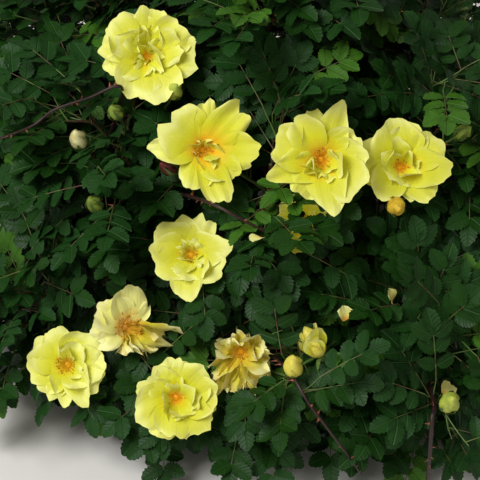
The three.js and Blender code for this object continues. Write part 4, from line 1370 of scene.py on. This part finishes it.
# Front buds that bend over on their stalks: where each faces, and how far it stands from its twig's end in
# mm, to the right, up in the picture and towards its eye
BENT_BUDS = {
    5: (facing(-10, 80), (0, 0, 0)),
    HALF_OPEN_BUD: (facing(-122, 58), (6, -7.5, 0)),
    8: (facing(10, 35), (0, -3.5, 13)),
}

# Blooms out of the picture repeat the petals of these front ones, each turned its own way
PATTERNS = (1, 3, 7, 8, 2, 4, 0)
FADING_BLOOM = 6

# Fallen petals that leaves have caught, by their pixels in the picture, and how long one is
CAUGHT_PETALS = ((391, 299), (338, 319), (256, 240), (441, 388))
CAUGHT_SIZE, CAUGHT_NUMBERS, CAUGHT_LIFT, CAUGHT_WITHIN, CAUGHT_TURN = 12, 200, 2.0, 6, 47
CAUGHT = {
    "long": 0.95, "width": 0.95, "open": 84, "curl": -14, "cup": 0.3,
    "ruffle": 0.05, "pleat": 0.02, "tuck": 0.1, "crumple": 1.6, **TIP_SHAPES["round"],
}

# How far behind its front a bloom's heart lies, in shares of its radius, the golden dome that closes it as
# radii and heights in mm, and the place on a petal whose colour it takes
HEART_DEPTH = 0.2
HEART_DOME = ((3.0, -0.6), (2.9, 0.6), (2.3, 1.7), (1.2, 2.4), (0.1, 2.6))
HEART_PLACE = (0.5, 0.08)

# Stamens, in mm and degrees: the ring they stand in, how high, how they lean from its middle to its edge, how
# much they sway and how long they are in a bloom of the usual radius
STAMEN_NEAR, STAMEN_RING, STAMEN_HEIGHT, STAMEN_LEAN, STAMEN_SWAY = 0.6, 3.0, 1.2, (8, 56), 34
STAMEN_LENGTH, STAMEN_VARIES, USUAL_RADIUS = 4.6, 3.4, 33

# Front blooms whose stamens differ from a full tuft, in the order of FRONT_BLOOMS: their share of all and
# their length
TUFTS = {0: (0.3, 0.8), 4: (0.6, 0.9), 6: (1.0, 1.5), 8: (0.6, 0.9), 9: (0.8, 1.3)}


def petal_grid(petal, radius, draw):
    """One petal in the bloom's own axes: +Z out of its face, the petal's turn measured from +Y towards +X."""
    u, v = np.meshgrid(np.linspace(-1, 1, PETAL_COLUMNS), np.linspace(0, 1, PETAL_ROWS))
    point, notch = petal.get("point", 0), petal.get("notch", 0)
    tip = point * np.exp(-((u / 0.4) ** 2)) - notch * np.exp(-((u / 0.2) ** 2))
    ragged = sum(size * np.sin(u * waves + draw() * 6) for size, waves in PETAL_NICKS)
    along = v * (1 - petal["round"] * np.abs(u) ** 2.6 + (tip + ragged) * v**2)
    breadth = mix(PETAL_BASE, 1, np.sin(np.minimum(v / PETAL_WIDEST, 1) * math.pi / 2) ** 1.1)
    breadth *= 1 - 0.12 * np.clip((v - PETAL_WIDEST) / (1 - PETAL_WIDEST), 0, 1) ** 2
    half = petal["width"] * radius / 2

    steps = np.linspace(0, 1.3, 61)
    opened = mix(PETAL_START, petal["open"], np.clip(steps / 0.5, 0, 1) ** 0.8)
    opened = np.radians(opened + petal["curl"] * np.clip((steps - 0.5) / 0.5, 0, 1.4) ** 1.6)
    out, height = leaning_line(opened, steps[1] * petal["long"] * radius)
    angle = np.interp(along, steps, opened)

    phase, pleated = draw() * FULL_TURN, draw() * FULL_TURN
    lift = petal["cup"] * half * (u * breadth) ** 2
    lift += petal["ruffle"] * radius * v**2 * np.sin(u * 4.4 + phase) * (0.4 + np.abs(u))
    lift += petal["pleat"] * radius * v**1.5 * np.sin(u * 10 + v * 2 + pleated)
    lift += petal["tuck"] * half * u * v
    radial = np.interp(along, steps, out + PETAL_SEAT) - np.cos(angle) * lift
    axial = np.interp(along, steps, height) + np.sin(angle) * lift

    grid = np.stack([half * u * breadth, radial, axial], axis=-1)
    crumple = petal["crumple"] * v[..., None]
    for lump, share in PETAL_CRUMPLES:
        grid += np.stack([rough(grid, lump, draw() * 50) for _ in range(3)], axis=-1) * crumple * share
    return spun(grid, petal["turn"])


def petals_of(rows, draw, turned=0, **given):
    """Petals as the rows say. The nearer to the heart, the more a petal is ruffled and turned aside."""
    petals = []
    for turn, long, width, opened, tip in rows:
        inner = min(1, max(0, (78 - opened) / 34))
        lean = -1 if draw() < 0.5 else 1
        petal = {
            "turn": turn + turned,
            "long": long * (0.955 + draw() * 0.04),
            "width": width,
            "open": opened + (draw() - 0.5) * 8,
            "curl": mix(-8, 30, draw()),
            "cup": 0.1 + 0.3 * inner + draw() * 0.1,
            "ruffle": 0.045 + 0.09 * inner + draw() * 0.05,
            "pleat": 0.014 + 0.02 * draw(),
            "tuck": lean * (0.9 if width < 0.33 else 0.06 + draw() * (0.1 + 0.6 * inner)),
            "crumple": 1.0 + inner,
        }
        petals.append({**petal, **TIP_SHAPES[tip], **given})
    return petals


def face_axes(out):
    """The axes of a face: to its right as seen from in front, up in it, and out of it."""
    right = unit(np.cross(UP, out))
    return np.array([right, np.cross(out, right), out])


def place_on(flower, grid, back):
    """Points of the flower's own axes put where it stands, from back behind its centre."""
    return (grid - [0, 0, back]) @ face_axes(flower["faces"]) + flower["centre"]


def blooms_only():
    return [flower for flower in grown_bush().flowers if flower["kind"] == "bloom"]


def caught_petals():
    """Single petals lying on whichever leaf the picture shows at each pixel."""
    leaves = [leaf for mass in grown_bush().masses for shoot in mass["shoots"] for leaf in shoot["leaves"]]
    samples = [leaf_samples(leaf, BLADE_TAKES) for leaf in leaves]
    owners = np.repeat(np.arange(len(leaves)), [len(points) for points in samples])
    spots = np.concatenate(samples)
    eye, ahead, above = picture_axes()
    away = spots - eye
    depth = away @ ahead
    scale = PICTURE_DISTANCE / PICTURE_SPAN * PICTURE_SIDE / depth
    across, down = PICTURE_SIDE / 2 + away[:, 0] * scale, PICTURE_SIDE / 2 - away @ above * scale
    made = []
    for number, (x, y) in enumerate(CAUGHT_PETALS):
        off = np.hypot(across - x, down - y) >= CAUGHT_WITHIN
        found = int(np.where(off, np.inf, depth).argmin())
        bed, turn = leaves[owners[found]]["normal"], CAUGHT_TURN * number
        right, up, _ = face_axes(bed)
        points_to = right * math.sin(math.radians(turn)) + up * math.cos(math.radians(turn))
        centre = spots[found] + bed * CAUGHT_LIFT - points_to * CAUGHT_SIZE / 2
        flower = {"kind": "caught", "number": CAUGHT_NUMBERS + number, "width": 2 * CAUGHT_SIZE, "depth": 0}
        made.append(({**flower, "faces": bed, "centre": centre}, [{**CAUGHT, "turn": turn}]))
    return made


def shown_flowers():
    """The flowers as they stand, with some buds bent over on their stalks."""
    flowers = list(grown_bush().flowers)
    _, ahead, above = picture_axes()
    for order, (faces, (right, up, near)) in BENT_BUDS.items():
        bud = flowers[len(FRONT_BLOOMS) + order]
        shift = np.array([right, 0, 0]) + above * up - ahead * near
        moved = (faces - bud["faces"]) * BUD_FOOT * bud["width"] / 2 + shift
        flowers[bud["number"]] = {**bud, "faces": faces, "centre": bud["centre"] + moved}
    return flowers


def bent_stalks():
    """The stalks that carry bent-over buds on from the ends of their twigs."""
    for order, (_, moved) in BENT_BUDS.items():
        if any(moved):
            number = len(FRONT_BLOOMS) + order
            straight, bent = grown_bush().flowers[number], shown_flowers()[number]
            start, end = foot_of(straight), foot_of(bent)
            curve = Curve(start, start + straight["faces"] * 3, end - bent["faces"] * 5, end)
            yield curve.at(np.linspace(0, 1, 9)), np.full(9, TWIG_GIRTH["bloom"][1])


def fresh_petals():
    """Every bloom in its prime with its petals, and the half-open bud with its furled ones."""
    buds = [flower for flower in shown_flowers() if flower["kind"] == "bud"]
    furled = petals_of(FURLED_PETALS, stream(409), **FURLED)
    made = [({**buds[HALF_OPEN_BUD], "depth": HALF_OPEN_DEPTH}, furled)]
    for order, flower in enumerate(blooms_only()):
        draw = stream(977 + flower["number"] * 131)
        front = order < len(FRONT_PETALS)
        rows = FRONT_PETALS[order if front else PATTERNS[order % len(PATTERNS)]]
        if order != FADING_BLOOM:
            made.append((flower, petals_of(rows, draw, 0 if front else draw() * 360)))
    return made


def fading_petals():
    """The spent bloom's last upright petals, and the petals caught on leaves."""
    rows = petals_of(FRONT_PETALS[FADING_BLOOM], stream(977))
    return [(blooms_only()[FADING_BLOOM], rows), *caught_petals()]


def withered_petals():
    """The blooms past their best with their shrivelled petals."""
    blooms = blooms_only()
    draw = stream(7907)
    return [(blooms[order], petals_of(rows, draw, **SHRIVELLED)) for order, rows in WITHERED_PETALS.items()]


def petals_mesh(name, blooms):
    """The petals of each bloom, round a low golden dome that closes its heart."""
    parts = MeshParts()
    for flower, petals in blooms:
        radius = flower["width"] / 2
        depth = flower.get("depth", HEART_DEPTH) * radius
        draw = stream(3571 + flower["number"] * 17)
        for petal in petals:
            parts.add_grid(place_on(flower, petal_grid(petal, radius, draw), depth))
        if flower["kind"] == "bloom" and name != "withered_petals":
            dome = lathe(HEART_DOME, 12, 0.1, flower["number"])
            parts.add_grid(place_on(flower, dome, depth), closed=True, place=HEART_PLACE)
    return parts.mesh(name, "petal")


def stamen_points(blooms, count):
    """Stamens in a dense tuft round each bloom's heart: roots, turns and lengths."""
    roots, turns, lengths = [], [], []
    for order, flower in enumerate(blooms):
        draw = stream(6007 + flower["number"] * 29)
        axes = face_axes(flower["faces"])
        radius = flower["width"] / 2
        share_kept, longer = TUFTS.get(order, (1.0, 1.0))
        tuft = round(count * share_kept)
        for i in range(tuft):
            share = math.sqrt((i + 0.5) / tuft)
            angle = i * GOLDEN_ANGLE + draw() * 0.8
            ring = np.array([math.cos(angle), math.sin(angle), 0])
            root = ring * (STAMEN_NEAR + STAMEN_RING * share) - UP * radius * HEART_DEPTH + UP * STAMEN_HEIGHT
            lean = math.radians(mix(*STAMEN_LEAN, share) + (draw() - 0.5) * STAMEN_SWAY)
            way = (ring * math.sin(lean) + UP * math.cos(lean)) @ axes
            roots.append(root @ axes + flower["centre"])
            turns.append(turn_of(way, np.cross(way, ring @ axes) + 1e-6))
            long = STAMEN_LENGTH + STAMEN_VARIES * draw()
            lengths.append(long * longer * radius / USUAL_RADIUS * MM)
    return roots, turns, lengths


def filament_mesh():
    """A thread 1 m long along +X with a slight bend."""
    rows = [(x, mix(0.03, 0.018, x), mix(0.03, 0.018, x), 0.09 * x * x) for x in (0, 0.35, 0.7, 1)]
    return ringed_mesh("filament", rod_rings(rows, 3) / MM, "thread")


def anther_mesh():
    """A pair of pollen sacs at the end of a thread 1 m long."""
    stops = ((0.93, 0.02), (0.98, 0.075), (1.08, 0.085), (1.16, 0.05), (1.18, 0.01))
    rows = [(x, girth * 1.3, girth * 0.8, 0.09) for x, girth in stops]
    return ringed_mesh("anther", rod_rings(rows, 6) / MM, "thread")


# Buds and sepals

BUD_BACK, BUD_LENGTH, BUD_ROWS, BUD_SIDES = 0.95, 2.9, 16, 36

# What each bud shows of its furled petals, in the order of the front buds and then round the far sides
BUD_COATS = ("lime", "green", "cream", "wine", "green", "lemon", "lemon", "lime", "amber", "green")
COAT_COLOURS = {
    "lime": ("#c3cb50", "#98ad3e"), "green": ("#9db046", "#6f8c34"), "cream": ("#f6efb4", "#dfd07e"),
    "wine": ("#6c2a26", "#451c1a"), "lemon": ("#f4ea62", "#dccb4c"), "amber": ("#ecc93a", "#c49a2a"),
}
# How far up each bud its sepals reach: the nearer it is to opening, the less of it they cover
SEPAL_REACH = {"lime": 0.6, "green": 0.92, "cream": 0.62, "wine": 0.92, "lemon": 0.42, "amber": 0.5}

# The hip under a bloom or a bud as radii and heights, and an open bloom's sepals, which leave it nearly
# square to the bloom's axis and curl back, all in mm and degrees
HIPS = {
    "bloom": ((0.9, -4.5), (2.2, -3.4), (3.3, -1.2), (3.4, 1.0), (2.6, 2.8), (2.2, 3.6)),
    "bud": ((0.9, -3.2), (2.0, -2.2), (2.9, -0.4), (2.8, 1.2), (2.2, 2.2)),
}
HIP_BACK, HIP_SIDES, SEPALS, SEPAL_RISE, SEPAL_TURN = 2.5, 14, 5, 1.5, 31
SEPAL_ROWS, SEPAL_LENGTH, SEPAL_WIDTH, SEPAL_OPEN, SEPAL_CURL, SEPAL_SEAT = 7, 15, 4.2, 78, 40, 2.6


def open_sepal(turn):
    """One narrow sepal with a leafy tip behind an open bloom."""
    v = np.linspace(0, 1, SEPAL_ROWS)
    half = SEPAL_WIDTH / 2 * np.sin(math.pi * np.clip(v * 0.9 + 0.1, 0, 1)) ** 0.6 * (1 - 0.5 * v)
    out, up = leaning_line(np.radians(SEPAL_OPEN + SEPAL_CURL * v), SEPAL_LENGTH / (SEPAL_ROWS - 1))
    out = out + SEPAL_SEAT
    sides = [np.stack([half * u, out - abs(u) * half * 0.3, up], axis=-1) for u in (-1, 0, 1)]
    return spun(np.stack(sides, axis=1), turn)


def bud_girth(share):
    """The bud's radius at a share of its length, in shares of its widest radius."""
    return np.sin(math.pi * np.clip(share * 0.95 + 0.04, 0, 1)) ** 0.6 * (1.06 - 0.45 * share**1.4)


def clasping_sepal(turn, radius, reach):
    """A pointed sepal that lies on the bud and parts from it at the tip."""
    share = np.linspace(0.02, reach, 9)[:, None]
    spread = np.radians(24) * (1 - share / reach * 0.95) ** 0.8 * np.array([-1, 0, 1]) + math.radians(turn)
    away = radius * bud_girth(share) + 0.45 + 2.4 * np.clip(share - 0.76 * reach, 0, 1) * [1, 1.25, 1]
    height = share * radius * BUD_LENGTH + 0 * away
    return np.stack([np.sin(spread) * away, np.cos(spread) * away, height], axis=-1)


def bud_grid(flower):
    """Furled petals as one pointed egg with a spiral of overlapping edges."""
    radius = flower["width"] / 2
    share = np.linspace(0, 1, BUD_ROWS)[:, None]
    angles = round_angles(BUD_SIDES)
    swirl = (angles * 3 / (2 * math.pi) + share * 1.4) % 1
    away = radius * bud_girth(share) * (1 - 0.32 * swirl**1.5 * np.minimum(1, share * 2.2))
    height = share * radius * BUD_LENGTH + 0 * away
    grid = np.stack([np.cos(angles) * away, np.sin(angles) * away, height], axis=-1)
    return place_on(flower, grid, radius * BUD_BACK)


def add_calyx(parts, flower, reach):
    """The hip, its stalk's end and the sepals: spread behind an open flower, or clasping a bud this far."""
    radius = flower["width"] / 2
    back = radius * BLOOM_FOOT + HIP_BACK if flower["kind"] == "bloom" else radius * BUD_FOOT
    hip = lathe(HIPS[flower["kind"]], HIP_SIDES, 0.06, flower["number"])
    parts.add_grid(place_on(flower, hip, back), closed=True)
    for i in range(SEPALS):
        turn = 360 // SEPALS * i + flower["number"] * SEPAL_TURN
        if reach:
            parts.add_grid(place_on(flower, clasping_sepal(turn, radius, reach), radius * BUD_BACK))
        else:
            parts.add_grid(place_on(flower, open_sepal(turn), back - SEPAL_RISE))


# Operators

FLOOR_HALF = 4.0
# Each lamp's name, place and side in metres, and the setting with its power
LAMPS = (
    ("key", (-0.9, -0.7, 1.7), 0.9, "key"),
    ("fill", (1.5, -1.1, 1.0), 1.6, "fill"),
    ("back", (0.5, 1.6, 1.3), 1.4, "fill"),
)
LAMPS_AIM = (0, 0.02, 0.15)
SKY_COLOUR, SKY_STRENGTH = (1.0, 0.98, 0.9, 1), 0.2


def settings():
    return bpy.context.scene.rose_bush


class ROSE_OT_rootstock(bpy.types.Operator):
    """Make the knobbly stump with its cracked bark"""

    bl_idname = "rose.rootstock"
    bl_label = "Rootstock"

    def execute(self, context):
        stems = settings().stems
        piece = show("rootstock_bark", rootstock_mesh(stems.relief), old_bark_material(stems))
        settle(piece, "old_bark", "rootstock")
        return {"FINISHED"}


class ROSE_OT_canes(bpy.types.Operator):
    """Make every cane with its ribs and knots"""

    bl_idname = "rose.canes"
    bl_label = "Canes"

    def execute(self, context):
        bark = settings().stems.cane_bark
        material = skin_material("waxy_cane_skin", scaled(bark, 0.6), scaled(bark, 1.7), 3)
        for mass in grown_bush().masses:
            name = f"cane_bark_{mass['name']}"
            piece = show(name, cane_mesh(name, mass), material)
            settle(piece, "cane_bark", f"cane_{mass['name']}")
        return {"FINISHED"}


class ROSE_OT_twigs(bpy.types.Operator):
    """Grow the stems and twigs that canes carry on into, and the finer green shoots"""

    bl_idname = "rose.twigs"
    bl_label = "Twigs"

    def execute(self, context):
        bush = grown_bush()
        bark, skin = settings().stems.cane_bark, settings().stems.green_bark
        brown = skin_material("young_cane_skin", bark, scaled(skin, 0.55), 9)
        green = skin_material("green_shoot_skin", skin, scaled(skin, 0.6), 7)
        dark = skin_material("dark_cane_skin", scaled(bark, 0.22), scaled(bark, 0.6), 5)
        woody = [*map(stem_path, bush.masses), *twig_paths(bush, ("leafy",))]
        shoots = [*twig_paths(bush, ("bloom", "fine")), *bent_stalks()]
        for name, paths, sides, material in (
            ("woody_twigs", woody, 7, brown),
            ("green_shoots", shoots, 6, green),
            ("bare_canes", bare_cane_paths(bush), 10, dark),
        ):
            settle(limbs_mesh(name, paths, sides, material), "cane_bark")
        return {"FINISHED"}


class ROSE_OT_prickles(bpy.types.Operator):
    """Set straight prickles along the canes and twigs"""

    bl_idname = "rose.prickles"
    bl_label = "Prickles"

    def execute(self, context):
        stems = settings().stems
        bush = grown_bush()
        stops = np.linspace(0.12, 1, 12)
        thick = [(mass["cane"].at(stops), np.ones(12)) for mass in bush.masses]
        thin = [*bare_cane_paths(bush), *map(stem_path, bush.masses), *twig_paths(bush, ("leafy", "bloom"))]
        material = skin_material("prickle_horn", linear("#7a3a2a"), linear("#a8654a"), 2, 0.45)
        for name, paths, share, reach, seed in (
            ("cane_prickles", thick, 0.75, stems.prickle / MM, 3),
            ("twig_prickles", thin, 0.3, stems.prickle / MM * 0.62, 5),
        ):
            lines = path_object(f"{name}_paths", paths)
            form = show(f"{name}_form", prickle_mesh(reach))
            values = {"Paths": lines, "Prickle": form, "Share": share, "Seed": seed, "Material": material}
            piece = made_by_nodes(name, prickle_nodes(), {**values, "Spacing": stems.prickle_spacing})
            discard(lines, form)
            settle(piece, "cane_bark")
        return {"FINISHED"}


class ROSE_OT_leaves(bpy.types.Operator):
    """Hang compound leaves on every twig, in shades dealt out by spray"""

    bl_idname = "rose.leaves"
    bl_label = "Leaves"

    def execute(self, context):
        leaves, stems = settings().leaves, settings().stems
        bush = grown_bush()
        sprays = {shade: [] for shade in LEAF_SHADES}
        stalks = []
        for mass in bush.masses:
            draw = stream(mass["number"] * 32452843)
            for shoot in mass["shoots"]:
                shade = shade_of(shoot, draw)
                for leaf in shoot["leaves"]:
                    set_on_stalk, stalk = compound_leaf(leaf, leaves.longest, draw)
                    sprays[shade] += set_on_stalk
                    stalks.append(stalk)
        leaflets = [leaflet_mesh(f"leaflet_{i}", form) for i, form in enumerate(LEAFLET_FORMS)]
        forms = form_collection("leaflet", leaflets)
        nodes = [f"foliage_{mass['name']}" for mass in bush.masses]
        for shade, sprayed in sprays.items():
            places, turns, sizes, kinds = zip(*sprayed)
            points = point_object(f"{shade}_points", places, turns, np.array(sizes) * MM, kinds)
            material = leaf_material(f"rose_leaf_{shade}", getattr(leaves, shade), leaves.vein)
            values = {"Points": points, "Forms": forms, "Material": material}
            piece = made_by_nodes(f"leaves_{shade}", point_nodes(), values)
            discard(points)
            settle(piece, "foliage", *nodes)
        discard(forms)
        green = skin_material("leaf_stalk_skin", stems.green_bark, scaled(stems.cane_bark, 1.6), 12)
        settle(limbs_mesh("leaf_stalks", stalks, 4, green), "foliage")
        return {"FINISHED"}


class ROSE_OT_blooms(bpy.types.Operator):
    """Open the blooms petal by petal, with their stamens"""

    bl_idname = "rose.blooms"
    bl_label = "Blooms"

    def execute(self, context):
        colours = settings().blooms
        fresh = (colours.throat, colours.lemon, colours.rim)
        pale = (colours.throat, mix_colours(colours.lemon, colours.faded, 0.5), colours.faded)
        dry = (colours.anther, mix_colours(colours.lemon, colours.anther, 0.2), colours.faded)
        for name, blooms, tints, wilted in (
            ("petals", fresh_petals(), fresh, 0.0),
            ("fading_petals", fading_petals(), pale, 0.03),
            ("withered_petals", withered_petals(), dry, 0.6),
        ):
            material = petal_material(f"rose_{name}", *tints, colours.wilted, wilted)
            settle(show(name, petals_mesh(name, blooms), material), "foliage")
        roots, turns, lengths = stamen_points(blooms_only(), colours.stamens)
        points = point_object("stamen_points", roots, turns, lengths, [0] * len(roots))
        for name, form, rgb in (
            ("stamens", filament_mesh(), colours.stamen),
            ("anthers", anther_mesh(), colours.anther),
        ):
            material = skin_material(f"{name}_skin", rgb, scaled(rgb, 0.7), 2, 0.6)
            forms = form_collection(f"{name}_form", [form])
            values = {"Points": points, "Forms": forms, "Material": material}
            piece = made_by_nodes(name, point_nodes(), values)
            discard(forms)
            settle(piece, "foliage")
        discard(points)
        return {"FINISHED"}


class ROSE_OT_buds(bpy.types.Operator):
    """Make the furled buds, and the hips and sepals behind blooms and buds"""

    bl_idname = "rose.buds"
    bl_label = "Buds and sepals"

    def execute(self, context):
        green = settings().stems.green_bark
        buds = {coat: MeshParts() for coat in COAT_COLOURS}
        calyx = MeshParts()
        numbers = itertools.count()
        for flower in shown_flowers():
            reach = 0
            if flower["kind"] == "bud":
                number = next(numbers)
                coat = BUD_COATS[number % len(BUD_COATS)]
                buds[coat].add_grid(bud_grid(flower), closed=True)
                reach = 0 if number == HALF_OPEN_BUD else SEPAL_REACH[coat]
            add_calyx(calyx, flower, reach)
        for coat, parts in buds.items():
            tint, other = COAT_COLOURS[coat]
            material = skin_material(f"furled_petal_skin_{coat}", linear(tint), linear(other), 4)
            settle(show(f"buds_{coat}", parts.mesh(f"buds_{coat}", "petal"), material), "foliage")
        sepal = skin_material("sepal_skin", scaled(green, 0.6), scaled(green, 1.1), 5, 0.55)
        settle(show("sepals", calyx.mesh("sepals", "petal"), sepal), "foliage")
        return {"FINISHED"}


class ROSE_OT_stage(bpy.types.Operator):
    """Lay the pale floor, hang the soft lamps and set the camera"""

    bl_idname = "rose.stage"
    bl_label = "Stage"

    def execute(self, context):
        studio = settings().studio
        scene = context.scene
        mesh = bpy.data.meshes.new("floor")
        corners = [(x * FLOOR_HALF, y * FLOOR_HALF, 0) for x, y in ((-1, -1), (1, -1), (1, 1), (-1, 1))]
        mesh.from_pydata(corners, [], [(0, 1, 2, 3)])
        show("floor", mesh, floor_material(studio.floor))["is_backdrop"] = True

        eye, ahead, _ = picture_axes()
        camera = bpy.data.cameras.new("camera")
        camera.sensor_width = 36
        camera.lens = camera.sensor_width * PICTURE_DISTANCE / PICTURE_SPAN
        view = bpy.data.objects.new("camera", camera)
        view.location = Vector(eye * MM)
        view.rotation_euler = Vector(ahead).to_track_quat("-Z", "Y").to_euler()
        scene.collection.objects.link(view)
        scene.camera = view

        for name, place, side, power in LAMPS:
            lamp = bpy.data.lights.new(name, "AREA")
            lamp.size = side
            lamp.energy = getattr(studio, power)
            holder = bpy.data.objects.new(name, lamp)
            holder.location = place
            holder.rotation_euler = (Vector(LAMPS_AIM) - Vector(place)).to_track_quat("-Z", "Y").to_euler()
            scene.collection.objects.link(holder)
        world = bpy.data.worlds.new("soft_white")
        world.use_nodes = True
        background = world.node_tree.nodes["Background"].inputs
        background["Color"].default_value = SKY_COLOUR
        background["Strength"].default_value = SKY_STRENGTH
        scene.world = world
        scene.view_settings.view_transform = "Standard"
        return {"FINISHED"}


class ROSE_PT_bush(bpy.types.Panel):
    bl_idname = "ROSE_PT_bush"
    bl_label = "Rose Bush"
    bl_space_type = "VIEW_3D"
    bl_region_type = "UI"
    bl_category = "Rose Bush"

    def draw(self, context):
        for operator in OPERATORS:
            self.layout.operator(operator.bl_idname)
        chosen = context.scene.rose_bush
        for group in (chosen.stems, chosen.leaves, chosen.blooms, chosen.studio):
            box = self.layout.box()
            for name in group.__annotations__:
                box.prop(group, name)


OPERATORS = (
    ROSE_OT_stage,
    ROSE_OT_rootstock,
    ROSE_OT_canes,
    ROSE_OT_twigs,
    ROSE_OT_prickles,
    ROSE_OT_leaves,
    ROSE_OT_blooms,
    ROSE_OT_buds,
)
SETTINGS = (RoseStemSettings, RoseLeafSettings, RoseBloomSettings, RoseStudioSettings, RoseBushSettings)


def register():
    for kind in (*SETTINGS, *OPERATORS, ROSE_PT_bush):
        bpy.utils.register_class(kind)
    bpy.types.Scene.rose_bush = bpy.props.PointerProperty(type=RoseBushSettings)


def unregister():
    del bpy.types.Scene.rose_bush
    for kind in reversed((*SETTINGS, *OPERATORS, ROSE_PT_bush)):
        bpy.utils.unregister_class(kind)


def main():
    register()
    for operator in OPERATORS:
        group, name = operator.bl_idname.split(".")
        getattr(getattr(bpy.ops, group), name)()
    boxes = {"cad": CAD_BOX, "visual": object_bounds()}
    plain = {name: [[float(v) for v in corner] for corner in box] for name, box in boxes.items()}


if __name__ == "__main__":
    main()
